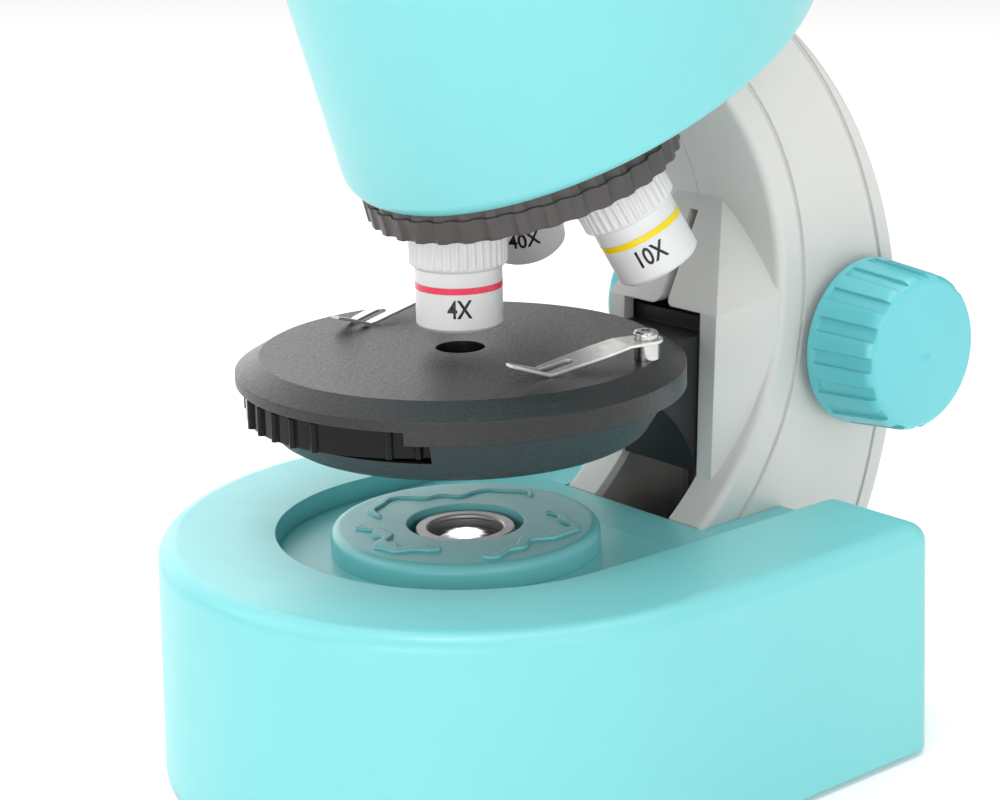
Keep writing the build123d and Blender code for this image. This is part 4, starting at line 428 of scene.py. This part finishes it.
def printed_power(text, kind, turn):
    """Numerals printed on an objective's barrel, bent round it, as a thin closed layer of ink."""
    ring = middle(f"objective_{kind}_ring")
    down = (middle(f"objective_{kind}_lens") - ring).normalized()
    toward = Vector((math.cos(turn), math.sin(turn), 0))
    toward = (toward - down * toward.dot(down)).normalized()
    side = toward.cross(down).normalized()
    curve = bpy.data.curves.new(f"power_{kind}", "FONT")
    curve.body = text
    curve.align_x = "CENTER"
    curve.size = 1.0
    curve.offset = 0.018
    curve.resolution_u = 6
    letters = bpy.data.objects.new(f"power_{kind}_curve", curve)
    bpy.context.scene.collection.objects.link(letters)
    bpy.context.view_layer.update()
    flat = bpy.data.meshes.new_from_object(letters)
    bpy.data.objects.remove(letters)
    work = bmesh.new()
    work.from_mesh(flat)
    tall = max(v.co.y for v in work.verts)
    scale = NUMERAL_HEIGHT / tall
    for v in work.verts:
        v.co *= scale
        v.co.x *= NUMERAL_NARROWING
    bmesh.ops.remove_doubles(work, verts=work.verts, dist=1e-6)
    wide = max(v.co.x for v in work.verts)
    for step in range(-BEND_STEPS, BEND_STEPS + 1):
        everything = work.verts[:] + work.edges[:] + work.faces[:]
        bmesh.ops.bisect_plane(work, geom=everything, dist=1e-7,
                               plane_co=(wide * step / BEND_STEPS, 0, 0), plane_no=(1, 0, 0))
    lifted = bmesh.ops.extrude_face_region(work, geom=work.faces[:])
    for item in lifted["geom"]:
        if isinstance(item, bmesh.types.BMVert):
            item.co.z += INK_LAYER
    bmesh.ops.recalc_face_normals(work, faces=work.faces[:])
    radius = BARREL_RADIUS - INK_SUNK
    base = ring + down * (NUMERAL_GAP + NUMERAL_HEIGHT)
    for v in work.verts:
        angle = v.co.x / (radius + INK_SUNK)
        r = radius + v.co.z
        v.co = base + (toward * math.cos(angle) + side * math.sin(angle)) * r - down * v.co.y
    mesh = bpy.data.meshes.new(f"power_{kind}")
    work.to_mesh(mesh)
    work.free()
    mesh.materials.append(materials["ink_black"])
    made = bpy.data.objects.new(f"power_{kind}", mesh)
    bpy.context.scene.collection.objects.link(made)
    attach(made, "nosepiece")


# the camera stands off from the optical axis, which runs through the lamp
CAMERA = Vector((lamp_centre.x + CAMERA_X, lamp_centre.y + CAMERA_Y, CAMERA_Z))
for text, kind in (("4X", "4x"), ("10X", "10x"), ("40X", "40x")):
    across = CAMERA - middle(f"objective_{kind}_ring")
    printed_power(text, kind, math.atan2(across.y, across.x))


# ---------------------------------------------------------------- floor, light and camera
def make_floor():
    """Wide pale floor."""
    mesh = bpy.data.meshes.new("floor")
    half = 6.0
    mesh.from_pydata([(-half, -half, 0), (half, -half, 0), (half, half, 0), (-half, half, 0)], [],
                     [(0, 1, 2, 3)])
    floor = bpy.data.objects.new("floor", mesh)
    bpy.context.scene.collection.objects.link(floor)
    material, tree, place = start("floor_white")
    tone = noise(tree, place, 3, 2)
    finish_material(tree, Base_Color=blend_colour(tree, tone, (0.93, 0.93, 0.93), (0.95, 0.95, 0.95)),
                    Roughness=0.8, Emission_Color=(1, 1, 1, 1), Emission_Strength=0.14)
    mesh.materials.append(material)


def make_softbox(name, place, aim, size, watts):
    """Large rectangular light."""
    light = bpy.data.lights.new(name, "AREA")
    light.shape = "RECTANGLE"
    light.size, light.size_y = size
    light.energy = watts
    made = bpy.data.objects.new(name, light)
    made.location = place
    made.rotation_euler = (Vector(aim) - Vector(place)).to_track_quat("-Z", "Y").to_euler()
    bpy.context.scene.collection.objects.link(made)


def make_world():
    """White surroundings; behind the object they are bright on the left and dim on the right."""
    world = bpy.data.worlds.new("studio")
    world.use_nodes = True
    tree = world.node_tree
    tree.nodes.clear()
    direction = node(tree, "ShaderNodeTexCoord").outputs["Generated"]

    def along(axis):
        made = node(tree, "ShaderNodeVectorMath", {"operation": "DOT_PRODUCT"})
        tree.links.new(direction, made.inputs[0])
        made.inputs[1].default_value = axis
        return made.outputs["Value"]

    def mix(amount, one, two):
        made = node(tree, "ShaderNodeMix", {"data_type": "FLOAT"})
        for socket, value in zip((made.inputs[0], made.inputs[2], made.inputs[3]), (amount, one, two)):
            if isinstance(value, bpy.types.NodeSocket):
                tree.links.new(value, socket)
            else:
                socket.default_value = value
        return made.outputs[0]

    behind = spread(tree, along((-0.77, 0.63, 0.10)), 0.0, 1.0, 0.35, 0.85)
    split = spread(tree, along((0.63, 0.77, 0.0)), 2.2, 0.10, -0.16, 0.12)
    light = mix(behind, 0.54, split)
    seen = node(tree, "ShaderNodeLightPath").outputs["Is Camera Ray"]
    background = node(tree, "ShaderNodeBackground", Color=(1, 1, 1, 1), Strength=mix(seen, light, 1.0))
    output = node(tree, "ShaderNodeOutputWorld")
    tree.links.new(background.outputs["Background"], output.inputs["Surface"])
    bpy.context.scene.world = world


def make_camera():
    """Camera at the front right, a little above the stage."""
    heading, pitch, roll = (math.radians(a) for a in (CAMERA_HEADING, CAMERA_PITCH, CAMERA_ROLL))
    forward = Vector((-math.sin(heading) * math.cos(pitch), math.cos(heading) * math.cos(pitch),
                      -math.sin(pitch)))
    right = Vector((math.cos(heading), math.sin(heading), 0))
    up = right.cross(forward)
    across = right * math.cos(roll) + up * math.sin(roll)
    above = up * math.cos(roll) - right * math.sin(roll)
    data = bpy.data.cameras.new("camera")
    data.sensor_width = SENSOR_WIDTH
    data.lens = CAMERA_LENS
    camera = bpy.data.objects.new("camera", data)
    turn = Matrix((across, above, -forward)).transposed()
    camera.matrix_world = Matrix.Translation(CAMERA) @ turn.to_4x4()
    bpy.context.scene.collection.objects.link(camera)
    bpy.context.scene.camera = camera


make_floor()
make_world()
make_softbox("key_left", (-0.9, -1.1, 1.1), (0, 0, 0.12), (1.2, 1.2), 6.6)
make_softbox("fill_right", (1.5, -0.2, 0.9), (0, 0, 0.1), (1.0, 1.4), 5.2)
make_softbox("top", (0.0, 0.3, 1.6), (0, 0, 0.1), (1.6, 1.2), 12.0)
make_softbox("front_low", (0.7, -1.1, 0.22), (0, 0, 0.08), (0.9, 0.4), 3.8)
make_softbox("strip", (0.22, -0.42, 1.25), (0, -0.08, 0.05), (0.5, 0.22), 3.4)
make_camera()
view_settings = bpy.context.scene.view_settings
view_settings.view_transform = "Standard"
view_settings.look = "None"
